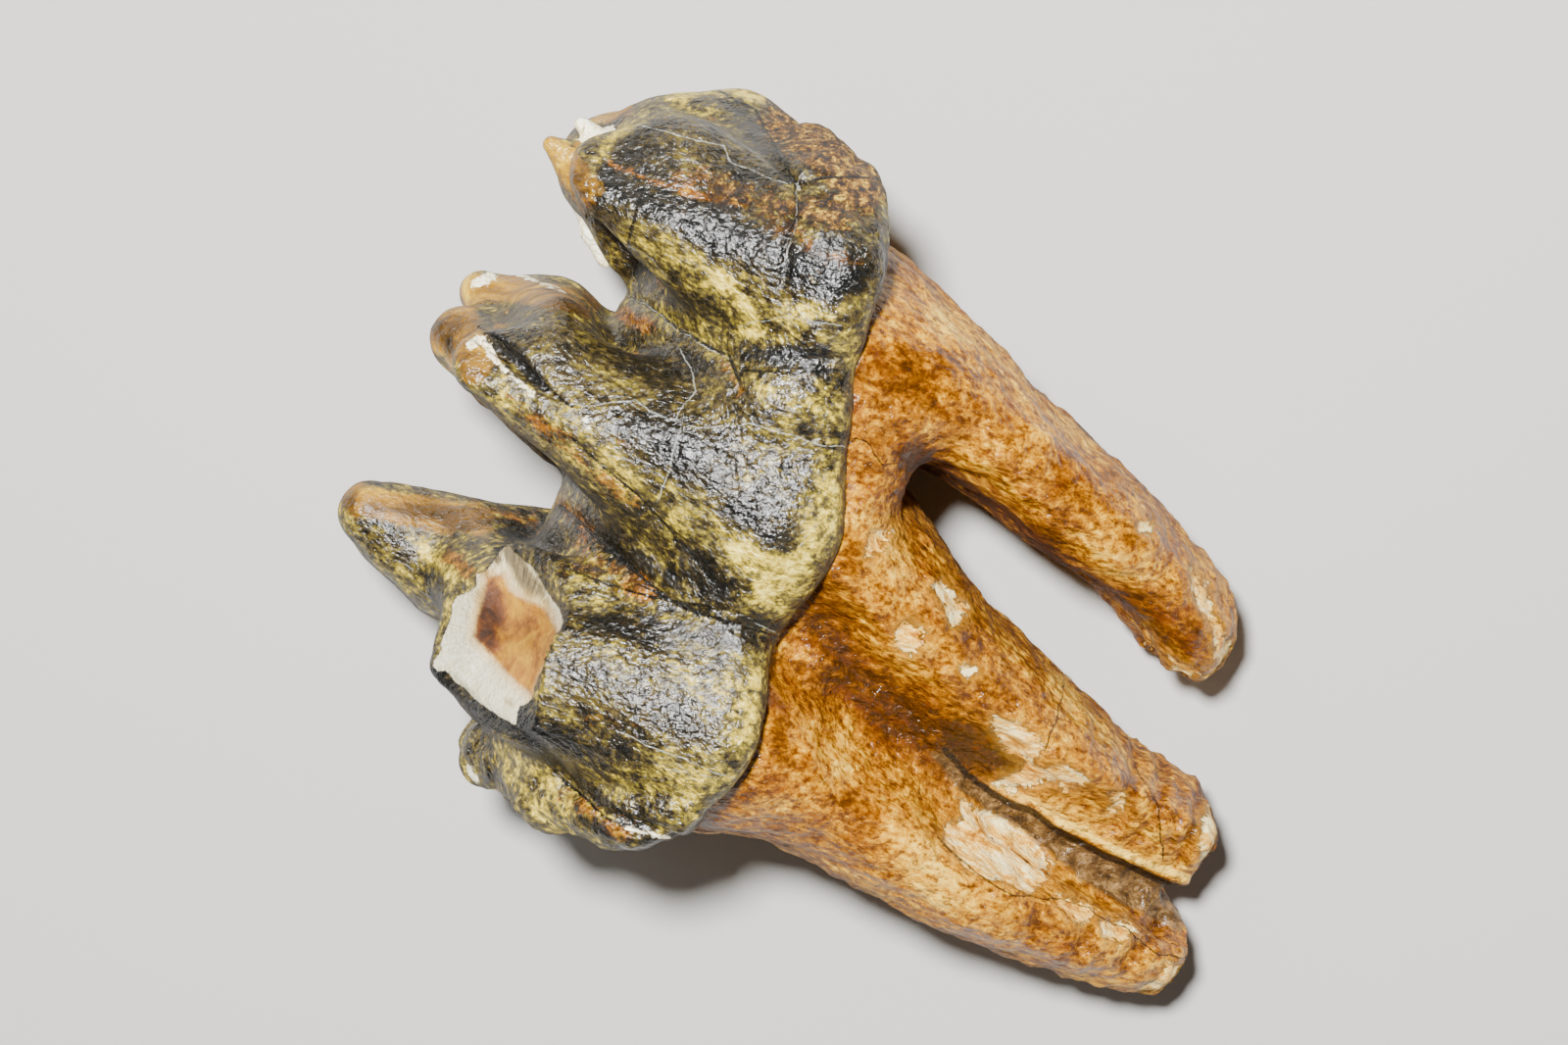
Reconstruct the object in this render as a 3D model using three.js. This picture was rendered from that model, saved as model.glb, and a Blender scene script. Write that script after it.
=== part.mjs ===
// Fossil mastodon molar: one tooth, with a crown of three cross ridges and a root that forks in two.
// Units are millimetres. The tooth is shaped standing up, with X from its front ridge to its rear
// heel, Y from its hidden side to its shown side, and Z from the root tips up to the cusps.
// It is then laid on its hidden side, as a loose tooth lies.
import * as THREE from 'three';

const { clamp, degToRad, lerp } = THREE.MathUtils;

// Driving dimensions
const ridgeX = { front: -38, middle: -5, rear: 28 };
const shownCuspY = 20.5;
const hiddenCuspY = -23;
const columnRadius = 17.5;
const lipHeight = 12;
const valleyHeight = 37.5;
const valleyFall = 0.0135;
const rearValleyFall = 0.018;
const rootTop = 13;
const frontRootEnd = -68.9;
const shownLobeEnd = -75;
const rearLobeEnd = -79.3;
const webEnd = -71.5;
const neckBlend = 2;
const lumpHeight = 0.4;

// Resting attitude, turned from standing: over onto the hidden side, then up to the three points
// that it lies on
const layOver = degToRad(90);
const restRoll = degToRad(-16.9);
const restPitch = degToRad(-0.9);
const restWear = 0.3;

// Grid that the surface is drawn on: finer on the crown than on the roots
const crownCell = 3.4;
const rootCell = 4.7;
const acrossCell = 3.6;
const reach = { x: [-62, 60], y: [-46, 46], z: [-85, 70] };
const crownFloor = 2;

// Rounded union and rounded cut of two distances
function join(a, b, blend) {
  const share = clamp(0.5 + (0.5 * (b - a)) / blend, 0, 1);
  return lerp(b, a, share) - blend * share * (1 - share);
}

function keep(a, b, blend) {
  return -join(-a, -b, blend);
}

// Rounded cone from one ball to another, each given as [x, y, z, radius]
function cone(p, from, to) {
  const run = [to[0] - from[0], to[1] - from[1], to[2] - from[2]];
  const off = [p.x - from[0], p.y - from[1], p.z - from[2]];
  const length2 = run[0] ** 2 + run[1] ** 2 + run[2] ** 2;
  const t = clamp((off[0] * run[0] + off[1] * run[1] + off[2] * run[2]) / length2, 0, 1);
  const away = Math.hypot(off[0] - t * run[0], off[1] - t * run[1], off[2] - t * run[2]);
  return away - lerp(from[3], to[3], t);
}

function rope(p, balls, blend) {
  let distance = cone(p, balls[0], balls[1]);
  for (let i = 1; i < balls.length - 1; i += 1) {
    distance = join(distance, cone(p, balls[i], balls[i + 1]), blend);
  }
  return distance;
}

function slope(rows, i, column) {
  const before = rows[Math.max(i - 1, 0)];
  const after = rows[Math.min(i + 1, rows.length - 1)];
  return (after[column] - before[column]) / (after[0] - before[0]);
}

// Smooth curve through rows that rise in their first column
function along(rows, at, column) {
  const place = clamp(at, rows[0][0], rows[rows.length - 1][0]);
  let i = 0;
  while (i < rows.length - 2 && place > rows[i + 1][0]) {
    i += 1;
  }
  const gap = rows[i + 1][0] - rows[i][0];
  const t = (place - rows[i][0]) / gap;
  const ease = t * t * (3 - 2 * t);
  const leave = t * (1 - t) ** 2 * gap * slope(rows, i, column);
  const arrive = t * t * (t - 1) * gap * slope(rows, i + 1, column);
  return lerp(rows[i][column], rows[i + 1][column], ease) + leave + arrive;
}

// Limb with a rounded-box section. Each row is [z, front x, rear x, hidden y, shown y].
function limb(p, rows, power, end, blend) {
  const [front, rear, hidden, shown] = [1, 2, 3, 4].map((column) => along(rows, p.z, column));
  const halfX = (rear - front) / 2;
  const halfY = (shown - hidden) / 2;
  const x = p.x - (front + rear) / 2;
  const y = p.y - (hidden + shown) / 2;
  const ratio = ((Math.abs(x) / halfX) ** power + (Math.abs(y) / halfY) ** power) ** (1 / power);
  const side = Math.hypot(x, y) * (1 - 1 / Math.max(ratio, 0.001));
  return keep(Math.max(side, -1.2 * Math.min(halfX, halfY)), end - p.z, blend);
}

// Roots: a plate-like front root, and a rear root of two lobes with a web and a groove between them
const frontRoot = [
  [-70, -10, 7.5, -16, 9],
  [-62, -13, 5.2, -18, 12.5],
  [-50, -20, -2.5, -21, 17],
  [-42, -23.6, -5.7, -23, 21],
  [-30, -28.8, -9, -25, 24],
  [-20, -33.6, -12, -27, 26],
  [-10, -38, -14.5, -29, 29],
  [-4, -40, -13, -30, 31],
  [10, -43.5, -8, -33, 33],
];
const frontLobe = [
  [-76, 20.5, 34.5, -16, 14],
  [-61, 16.5, 33, -19, 19],
  [-50, 11.7, 31.5, -21, 22],
  [-41, 7.2, 30, -23, 24],
  [-28, 0.7, 26.5, -26, 26.5],
  [-14, -8.5, 21, -29, 29],
  [-5, -11.5, 19, -31, 31],
  [8, -12, 19, -32, 32],
];
const rearLobe = [
  [-80, 39.3, 54, -15, 12],
  [-61, 35.5, 54.3, -19, 18],
  [-50, 33, 53.5, -21, 21.5],
  [-41, 30.5, 52.3, -23, 23.5],
  [-28, 26, 50.3, -26, 26],
  [-14, 19, 47.7, -29, 28.5],
  [-5, 16, 46.6, -31, 30],
  [8, 16, 46.8, -32, 31],
];
const web = [
  [-74, 28, 44, -14, 9],
  [-52, 24, 42, -17, 13],
  [-34, 16, 40, -20, 16],
  [-14, 8, 36, -24, 20],
  [8, 0, 40, -26, 25],
];
const trunk = [
  [-16, -38, 46, -30, 29],
  [-4, -41.5, 46.2, -32, 31],
  [6, -44, 46.8, -33, 33],
  [20, -45, 47, -34, 34],
];
const shownGroove = [
  [9, 33, 7, 7],
  [14, 32.5, -2, 8],
  [21.5, 29.5, -15, 8.5],
  [27.5, 25.5, -34, 8.5],
  [31, 21.5, -52, 8],
  [35, 18.5, -74, 8],
];
const hiddenGroove = shownGroove.map(([x, y, z, radius]) => [x, -y, z, radius]);
const lobeCorner = { from: [31, 7, -65, 4], to: [32.6, 6, -71.8, 2.2] };
const webHollow = [
  [27.7, 16.8, -34.5, 2.8],
  [30.4, 15.7, -41.3, 3.6],
  [32.1, 14.6, -47.5, 4.2],
  [34.3, 14.2, -54, 4.4],
  [36.2, 13.6, -60.4, 4.4],
  [37, 12, -67, 4.4],
  [38, 9.5, -77, 4.6],
];
const frontRootGroove = [
  [-9, -1, 2, 5],
  [-6, -2, -20, 5],
  [-1, -2, -40, 4],
  [6, -3, -60, 3],
];

function roots(p) {
  const plate = keep(limb(p, frontRoot, 2.3, frontRootEnd, 9), -rope(p, frontRootGroove, 3), 5);
  const lobes = join(
    limb(p, frontLobe, 2.2, shownLobeEnd, 6),
    limb(p, rearLobe, 2.2, rearLobeEnd, 7),
    3,
  );
  let rearRoot = join(lobes, limb(p, web, 2.6, webEnd, 4), 2.5);
  rearRoot = join(rearRoot, cone(p, lobeCorner.from, lobeCorner.to), 2);
  let distance = join(join(plate, rearRoot, 5), limb(p, trunk, 3, -6, 11), 5);
  distance = keep(distance, -rope(p, shownGroove, 3), 4);
  distance = keep(distance, -rope(p, hiddenGroove, 3), 4);
  distance = keep(distance, -rope(p, webHollow, 1.5), 0.6);
  return keep(distance, p.z - rootTop, 5);
}

// Crown: a broad body, a tall column under each cusp, low ridges that link them, and beaded lips
const crownBody = [
  [0, -46, 44, -31, 31],
  [8, -51, 47.5, -34, 33],
  [15, -53.5, 49, -35, 34],
  [23, -54.5, 50, -34, 33],
  [31, -54, 49.5, -29, 28],
  [40, -49, 44, -20, 20],
  [46, -45, 39, -12, 12],
];
const neckLine = [
  [-56, 12.5],
  [-43, 9.3],
  [-35, 9.9],
  [-27, 9],
  [-18, 7],
  [-8, 4],
  [0, 3],
  [6, 3.8],
  [13.5, 6],
  [21, 5],
  [28, 4.8],
  [35, 5.8],
  [44, 7.6],
  [53, 10],
];
const faceNormal = new THREE.Vector3(-0.69, 0.63, 0.34).normalize();
const columns = [
  { foot: [ridgeX.front, 21, 16, columnRadius], tip: [-42, 19, 48, 7.5], face: 60.5 },
  { foot: [ridgeX.middle, 21, lipHeight, 18], tip: [-10.5, 18, 57, 5.2], face: 39.5 },
  { foot: [ridgeX.rear, shownCuspY, 10, 18], tip: [31.5, 17, 52, 7.5] },
  { foot: [ridgeX.front, hiddenCuspY - 1, 14, columnRadius], tip: [-40, -14, 44, 8] },
  { foot: [ridgeX.middle, hiddenCuspY + 2, lipHeight, 14.5], tip: [-15.7, -17, 56, 3.2] },
  { foot: [ridgeX.rear, hiddenCuspY - 0.5, lipHeight, 18], tip: [22, -18, 61.2, 4.8] },
];
const links = [
  { from: [-43, 14, 38, 10], to: [-42, -13, 38, 9], blend: 5 },
  { from: [-11, 14, 47, 8], to: [-15, -14, 45, 7.5], blend: 5 },
  { from: [-9.5, -7, 58.5, 4.2], to: [-4.5, -6, 38, 9], blend: 3 },
  { from: [28, 12, 38, 8.5], to: [24, -14, 44, 7.5], blend: 5 },
  { from: [19.5, 12, 44, 5.5], to: [18.5, 17, 32, 6], blend: 4 },
  { from: [-41.3, -6, 55.2, 1.1], to: [-39.5, -6, 49, 3.2], blend: 2 },
  { from: [-39.5, -6, 49, 3.2], to: [-31.5, -6, 37.5, 5.5], blend: 3 },
  { from: [-47, -8, 38, 7.5], to: [-50.5, -8, 28, 8], blend: 4 },
  { from: [32.5, 6, 35, 9.5], to: [33.5, 3.5, 44.5, 4.7], blend: 4 },
  { from: [-20, 28, 16, 9.5], to: [-19, 27, 9, 9.5], blend: 4 },
  { from: [-12.5, -12, 54.5, 3.6], to: [-10, -8, 44, 8], blend: 3 },
  { from: [-9.5, -6, 57, 4], to: [-8.5, 4, 52, 6], blend: 4 },
  { from: [-17, 9, 48, 4.2], to: [-16, -6, 48.3, 3.4], blend: 5 },
  { from: [37.3, 2.3, 47.6, 1], to: [34.5, 3.5, 43, 3.5], blend: 2 },
  { from: [37.5, 4, 44, 2.2], to: [39, 9, 39, 3.5], blend: 3 },
  { from: [27, -18, 47, 7], to: [24, -18, 56, 5.8], blend: 3 },
];
const frontLip = [
  [-42, 31, 17, 7],
  [-47.8, 22, 20, 7],
  [-50.5, 8, 21, 6.5],
  [-48.5, -10, 22, 6.5],
  [-46, -22, 19, 7],
  [-42, -31, 16, 7],
];
const rearHeel = [
  [41, 30, 11, 5],
  [46, 25, 18, 5],
  [49, 13, 27, 4.8],
  [48, -3, 32.8, 4.9],
  [47, -20, 28, 6],
  [42, -32, 16, 6],
];

function column(p, { foot, tip, face }) {
  const round = cone(p, foot, tip);
  return face === undefined ? round : keep(round, faceNormal.dot(p) - face, 3);
}

function crownWhole(p) {
  const fall = lerp(valleyFall, rearValleyFall, clamp((p.x + 6) / 20, 0, 1));
  const valleyTop = valleyHeight - fall * p.y * p.y;
  let distance = keep(limb(p, crownBody, 3, -20, 4), p.z - valleyTop, 7);
  for (const one of columns) {
    distance = join(distance, column(p, one), 4);
  }
  for (const { from, to, blend } of links) {
    distance = join(distance, cone(p, from, to), blend);
  }
  distance = join(distance, rope(p, frontLip, 3), 3);
  distance = join(distance, rope(p, rearHeel, 3), 3);
  const inward = Math.max(36 - Math.hypot(0.75 * p.x, p.y), 0);
  return keep(distance, along(neckLine, p.x, 1) - p.z - 0.12 * inward, 4);
}

// The shown rear cusp is broken off along a sloping face with a pit in it
const breakNormal = new THREE.Vector3(0, 0.45, 0.893).normalize();
const breakLevel = 43.2;
const pit = { x: 27.5, y: 17, z: 41, depth: 4.5 };
const brokenCusp = { from: [30, 13, 62, 20], to: [30, 13, 42, 17] };

function crown(p) {
  const spread = ((p.x - pit.x) / 8) ** 2 + ((p.y - pit.y) / 7) ** 2 + ((p.z - pit.z) / 9) ** 2;
  const above = breakNormal.dot(p) - breakLevel + pit.depth * Math.exp(-spread);
  const lost = keep(-above, cone(p, brokenCusp.from, brokenCusp.to), 1.5);
  return keep(crownWhole(p), -lost, 0.8);
}

// Broad shallow lumps over the whole surface
function lumps(p) {
  const crosswise = Math.sin(p.x / 5.3 + 1) * Math.sin(p.y / 6.1 + 2) * Math.sin(p.z / 7.7 + 0.5);
  const slanting = Math.sin((p.x + p.z) / 6.3) * Math.sin((p.y - p.z) / 8.9 + 1.2);
  return lumpHeight * (crosswise + slanting);
}

function tooth(p) {
  return join(crown(p), roots(p), neckBlend) - lumps(p);
}

function evenSteps([low, high], cell) {
  const count = Math.round((high - low) / cell);
  return Array.from({ length: count + 1 }, (_, i) => lerp(low, high, i / count));
}

// Distances at every grid point, with the few patterns that would pinch the surface filled in
function sampleGrid(axes) {
  const size = axes.map((axis) => axis.length);
  const index = (i, j, k) => (i * size[1] + j) * size[2] + k;
  const values = new Float64Array(size[0] * size[1] * size[2]);
  const p = new THREE.Vector3();
  forCells(size, 0, (i, j, k) => {
    values[index(i, j, k)] = tooth(p.set(axes[0][i], axes[1][j], axes[2][k]));
  });
  while (fillPinches(values, size, index) > 0);
  return { values, size, index };
}

function forCells(size, margin, visit) {
  for (let i = 0; i < size[0] - margin; i += 1) {
    for (let j = 0; j < size[1] - margin; j += 1) {
      for (let k = 0; k < size[2] - margin; k += 1) {
        visit(i, j, k);
      }
    }
  }
}

const corners = [0, 1, 2, 3, 4, 5, 6, 7].map((c) => [c >> 2, (c >> 1) & 1, c & 1]);
const cellEdges = corners.flatMap((a, i) =>
  corners
    .map((b, j) => [i, j, Math.abs(a[0] - b[0]) + Math.abs(a[1] - b[1]) + Math.abs(a[2] - b[2])])
    .filter(([from, to, apart]) => from < to && apart === 1),
);

function fillPinches(values, size, index) {
  let filled = 0;
  forCells(size, 1, (i, j, k) => {
    const at = corners.map(([a, b, c]) => index(i + a, j + b, k + c));
    const inside = at.map((n) => values[n] < 0);
    if (pieces(inside, true) > 1 || pieces(inside, false) > 1) {
      for (const n of at) {
        values[n] = Math.min(values[n], -0.001);
      }
      filled += 1;
    }
  });
  return filled;
}

// Number of separate groups of corners that are inside, or outside, joined along cell edges
function pieces(inside, wanted) {
  const group = inside.map((value, i) => (value === wanted ? i : -1));
  for (let pass = 0; pass < 4; pass += 1) {
    for (const [a, b] of cellEdges) {
      if (group[a] >= 0 && group[b] >= 0) {
        group[a] = Math.min(group[a], group[b]);
        group[b] = group[a];
      }
    }
  }
  return new Set(group.filter((g) => g >= 0)).size;
}

function surfacePoint(start, limit, passes) {
  const nudge = 0.05;
  const p = start.clone();
  const q = new THREE.Vector3();
  for (let pass = 0; pass < passes; pass += 1) {
    const here = tooth(p);
    const gradient = new THREE.Vector3(
      tooth(q.copy(p).setX(p.x + nudge)) - here,
      tooth(q.copy(p).setY(p.y + nudge)) - here,
      tooth(q.copy(p).setZ(p.z + nudge)) - here,
    ).divideScalar(nudge);
    p.addScaledVector(gradient, (-0.9 * here) / Math.max(gradient.lengthSq(), 0.2));
    p.sub(start).clampScalar(-limit, limit).add(start);
  }
  return p;
}

// One point for each cell that the surface crosses, pulled onto the surface
function surfaceMesh() {
  const heights = [
    ...evenSteps([reach.z[0], crownFloor], rootCell).slice(0, -1),
    ...evenSteps([crownFloor, reach.z[1]], crownCell),
  ];
  const axes = [evenSteps(reach.x, acrossCell), evenSteps(reach.y, acrossCell), heights];
  const { values, size, index } = sampleGrid(axes);
  const points = [];
  const pointOf = new Map();
  forCells(size, 1, (i, j, k) => {
    const place = corners.map(([a, b, c]) => index(i + a, j + b, k + c));
    const crossed = cellEdges.filter(([a, b]) => values[place[a]] < 0 !== values[place[b]] < 0);
    if (crossed.length === 0) {
      return;
    }
    const middle = new THREE.Vector3();
    for (const [a, b] of crossed) {
      const t = values[place[a]] / (values[place[a]] - values[place[b]]);
      const [low, high] = [corners[a], corners[b]].map(
        ([da, db, dc]) => new THREE.Vector3(axes[0][i + da], axes[1][j + db], axes[2][k + dc]),
      );
      middle.addScaledVector(low.lerp(high, t), 1 / crossed.length);
    }
    pointOf.set(index(i, j, k), points.length);
    points.push(surfacePoint(middle, 0.5 * acrossCell, 4));
  });
  const faces = surfaceFaces(values, size, index, pointOf);
  return { points: evenOut(points, faces), faces };
}

// Each point slides part way to the middle of its neighbours, then back onto the surface
function evenOut(points, faces) {
  const sums = points.map(() => new THREE.Vector3());
  const counts = points.map(() => 0);
  for (let f = 0; f < faces.length; f += 3) {
    for (const [a, b] of [[0, 1], [1, 2], [2, 0]]) {
      sums[faces[f + a]].add(points[faces[f + b]]);
      counts[faces[f + a]] += 1;
    }
  }
  return points.map((point, i) => {
    const middle = sums[i].divideScalar(counts[i]);
    return surfacePoint(middle.lerp(point, 0.4), 0.4 * acrossCell, 4);
  });
}

// Two triangles for each grid edge that crosses the surface, between the four cells round it
function surfaceFaces(values, size, index, pointOf) {
  const faces = [];
  const steps = [[1, 0, 0], [0, 1, 0], [0, 0, 1]];
  forCells(size, 1, (i, j, k) => {
    steps.forEach((step, axis) => {
      const inside = values[index(i, j, k)] < 0;
      if (inside === values[index(i + step[0], j + step[1], k + step[2])] < 0) {
        return;
      }
      const u = steps[(axis + 1) % 3];
      const v = steps[(axis + 2) % 3];
      const ring = [[1, 1], [0, 1], [0, 0], [1, 0]].map(([a, b]) =>
        pointOf.get(index(i - a * u[0] - b * v[0], j - a * u[1] - b * v[1], k - a * u[2] - b * v[2])),
      );
      const [a, b, c, d] = inside ? ring : ring.reverse();
      faces.push(a, b, c, a, c, d);
    });
  });
  return faces;
}

// The tooth is turned as it rests and centred over the origin, with a trace worn off it at the
// points that it stands on
function layDown(points) {
  const turn = new THREE.Matrix4()
    .makeRotationY(restPitch)
    .multiply(new THREE.Matrix4().makeRotationX(layOver + restRoll));
  const laid = points.map((point) => point.clone().applyMatrix4(turn));
  const box = new THREE.Box3().setFromPoints(laid);
  const centre = box.getCenter(new THREE.Vector3());
  const ground = new THREE.Vector3(centre.x, centre.y, box.min.z + restWear);
  return laid.map((point) => point.sub(ground).max(new THREE.Vector3(point.x, point.y, 0)));
}

function molar() {
  const { points, faces } = surfaceMesh();
  const geometry = new THREE.BufferGeometry().setFromPoints(layDown(points));
  geometry.setIndex(faces);
  geometry.computeVertexNormals();
  const fossil = new THREE.MeshStandardMaterial({ color: 0x8a6a3c, roughness: 0.45, metalness: 0 });
  const mesh = new THREE.Mesh(geometry, fossil);
  mesh.name = 'molar';
  return mesh;
}

const group = new THREE.Group();
group.add(molar());
export default group;
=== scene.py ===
"""Fossil mastodon molar: the crown and the roots, shaped and coloured, lying on a pale floor."""

import functools
import math

import bpy
import numpy as np
from bpy.props import FloatProperty, FloatVectorProperty, PointerProperty
from mathutils import Matrix


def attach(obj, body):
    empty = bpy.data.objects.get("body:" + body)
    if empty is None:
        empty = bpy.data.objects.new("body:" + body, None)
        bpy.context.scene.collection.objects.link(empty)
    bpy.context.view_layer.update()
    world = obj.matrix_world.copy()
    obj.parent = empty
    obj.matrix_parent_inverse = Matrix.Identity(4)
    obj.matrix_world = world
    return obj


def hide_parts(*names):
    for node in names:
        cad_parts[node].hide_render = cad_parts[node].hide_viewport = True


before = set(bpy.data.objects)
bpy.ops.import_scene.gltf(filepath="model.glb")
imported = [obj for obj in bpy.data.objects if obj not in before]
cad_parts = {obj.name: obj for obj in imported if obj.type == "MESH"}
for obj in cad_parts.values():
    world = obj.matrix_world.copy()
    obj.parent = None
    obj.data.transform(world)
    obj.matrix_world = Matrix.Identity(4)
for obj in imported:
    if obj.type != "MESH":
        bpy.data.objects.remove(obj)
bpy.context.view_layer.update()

bl_info = {
    "name": "Fossil Mastodon Molar",
    "version": (1, 0, 0),
    "blender": (4, 5, 0),
    "location": "View3D > Sidebar > Fossil Molar",
    "description": "Builds the crown and roots of a fossil mastodon molar, and its stage",
    "category": "Add Mesh",
}

# The tooth is shaped standing up, in millimetres: X from the front ridge to the rear heel,
# Y from the hidden side to the shown side, Z from the root tips up to the cusps.
MM = 0.001

# Driving dimensions
RIDGE_X = {"front": -38, "middle": -5, "rear": 28}
SHOWN_CUSP_Y = 20.5
HIDDEN_CUSP_Y = -23
COLUMN_RADIUS = 17.5
LIP_HEIGHT = 12
VALLEY_HEIGHT = 37.5
VALLEY_FALL = 0.0135
REAR_VALLEY_FALL = 0.018
FALL_START = -6
FALL_LENGTH = 20
CROWN_BODY_END = -20
NECK_RADIUS = 36
NECK_SQUASH = 0.75
NECK_DISH = 0.12
ROOT_TOP = 13
FRONT_ROOT_END = -68.9
SHOWN_LOBE_END = -75
REAR_LOBE_END = -79.3
WEB_END = -71.5
TRUNK_END = -6
LUMP_HEIGHT = 0.4

# Resting attitude, turned from standing
LAY_OVER = math.radians(90)
REST_ROLL = math.radians(-16.9)
REST_PITCH = math.radians(-0.9)
REST_WEAR = 0.3

# The photograph: the direction that it looks from, its turn, its distance from the tooth, its size
# in pixels, its pixels to a millimetre, the pixel where the tooth's origin is seen, and the sensor
SEEN_FROM = np.array([-0.14, 1.0, 0.24])
SEEN_TURN = math.radians(162.0)
SEEN_DISTANCE = 650
PHOTO_WIDTH = 1600
PHOTO_HEIGHT = 1066
PHOTO_SCALE = 6.757
TOOTH_PIXEL = (825.1, 534.4)
SENSOR = 36
# What the tooth itself hides: judged in cells of so many pixels, and hidden from the first to the
# second depth, in millimetres behind what is in front
VIEW_CELL = 6
HIDDEN_DEPTHS = (5, 9)


def join(a, b, blend):
    share = np.clip(0.5 + 0.5 * (b - a) / blend, 0, 1)
    return b + (a - b) * share - blend * share * (1 - share)


def keep(a, b, blend):
    return -join(-a, -b, blend)


def cone(p, start, end):
    """Rounded cone between two balls, each given as (x, y, z, radius)."""
    run = [e - s for s, e in zip(start[:3], end[:3])]
    off = [q - s for q, s in zip(p, start[:3])]
    length2 = sum(r * r for r in run)
    t = np.clip(sum(o * r for o, r in zip(off, run)) / length2, 0, 1)
    away = np.sqrt(sum((o - t * r) ** 2 for o, r in zip(off, run)))
    return away - (start[3] + (end[3] - start[3]) * t)


def rope(p, balls, blend):
    distance = cone(p, balls[0], balls[1])
    for start, end in zip(balls[1:-1], balls[2:]):
        distance = join(distance, cone(p, start, end), blend)
    return distance


def along(rows, at, column):
    """Smooth curve through rows that rise in their first column."""
    places = np.array([row[0] for row in rows], float)
    values = np.array([row[column] for row in rows], float)
    last = len(rows) - 1
    after = np.minimum(np.arange(last + 1) + 1, last)
    before = np.maximum(np.arange(last + 1) - 1, 0)
    slopes = (values[after] - values[before]) / (places[after] - places[before])
    at = np.clip(at, places[0], places[-1])
    i = np.clip(np.searchsorted(places, at, side="right") - 1, 0, last - 1)
    gap = places[i + 1] - places[i]
    t = (at - places[i]) / gap
    ease = t * t * (3 - 2 * t)
    curve = values[i] + (values[i + 1] - values[i]) * ease
    curve += t * (1 - t) ** 2 * gap * slopes[i]
    curve += t * t * (t - 1) * gap * slopes[i + 1]
    return curve.astype(np.float32)


def limb(p, rows, power, end, blend):
    """Limb with a rounded-box section. Each row is (z, front x, rear x, hidden y, shown y)."""
    x, y, z = p
    front, rear, hidden, shown = [along(rows, z, column) for column in (1, 2, 3, 4)]
    half_x = (rear - front) / 2
    half_y = (shown - hidden) / 2
    x = x - (front + rear) / 2
    y = y - (hidden + shown) / 2
    ratio = ((np.abs(x) / half_x) ** power + (np.abs(y) / half_y) ** power) ** (1 / power)
    side = np.sqrt(x * x + y * y) * (1 - 1 / np.maximum(ratio, 0.001))
    return keep(np.maximum(side, -1.2 * np.minimum(half_x, half_y)), end - z, blend)


def level(p, normal):
    """How far along a direction each point lies."""
    size = math.sqrt(sum(n * n for n in normal))
    return sum(q * n for q, n in zip(p, normal)) / size


# Roots
FRONT_ROOT = [
    (-70, -10, 7.5, -16, 9),
    (-62, -13, 5.2, -18, 12.5),
    (-50, -20, -2.5, -21, 17),
    (-42, -23.6, -5.7, -23, 21),
    (-30, -28.8, -9, -25, 24),
    (-20, -33.6, -12, -27, 26),
    (-10, -38, -14.5, -29, 29),
    (-4, -40, -13, -30, 31),
    (10, -43.5, -8, -33, 33),
]
FRONT_LOBE = [
    (-76, 20.5, 34.5, -16, 14),
    (-61, 16.5, 33, -19, 19),
    (-50, 11.7, 31.5, -21, 22),
    (-41, 7.2, 30, -23, 24),
    (-28, 0.7, 26.5, -26, 26.5),
    (-14, -8.5, 21, -29, 29),
    (-5, -11.5, 19, -31, 31),
    (8, -12, 19, -32, 32),
]
REAR_LOBE = [
    (-80, 39.3, 54, -15, 12),
    (-61, 35.5, 54.3, -19, 18),
    (-50, 33, 53.5, -21, 21.5),
    (-41, 30.5, 52.3, -23, 23.5),
    (-28, 26, 50.3, -26, 26),
    (-14, 19, 47.7, -29, 28.5),
    (-5, 16, 46.6, -31, 30),
    (8, 16, 46.8, -32, 31),
]
WEB = [
    (-74, 28, 44, -14, 9),
    (-52, 24, 42, -17, 13),
    (-34, 16, 40, -20, 16),
    (-14, 8, 36, -24, 20),
    (8, 0, 40, -26, 25),
]
TRUNK = [
    (-16, -38, 46, -30, 29),
    (-4, -41.5, 46.2, -32, 31),
    (6, -44, 46.8, -33, 33),
    (20, -45, 47, -34, 34),
]
SHOWN_GROOVE = [
    (9, 33, 7, 7),
    (14, 32.5, -2, 8),
    (21.5, 29.5, -15, 8.5),
    (27.5, 25.5, -34, 8.5),
    (31, 21.5, -52, 8),
    (35, 18.5, -74, 8),
]
HIDDEN_GROOVE = [(x, -y, z, radius) for x, y, z, radius in SHOWN_GROOVE]
LOBE_CORNER = ((31, 7, -65, 4), (32.6, 6, -71.8, 2.2))
WEB_HOLLOW = [
    (27.7, 16.8, -34.5, 2.8),
    (30.4, 15.7, -41.3, 3.6),
    (32.1, 14.6, -47.5, 4.2),
    (34.3, 14.2, -54, 4.4),
    (36.2, 13.6, -60.4, 4.4),
    (37, 12, -67, 4.4),
    (38, 9.5, -77, 4.6),
]
FRONT_ROOT_GROOVE = [(-9, -1, 2, 5), (-6, -2, -20, 5), (-1, -2, -40, 4), (6, -3, -60, 3)]


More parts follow.
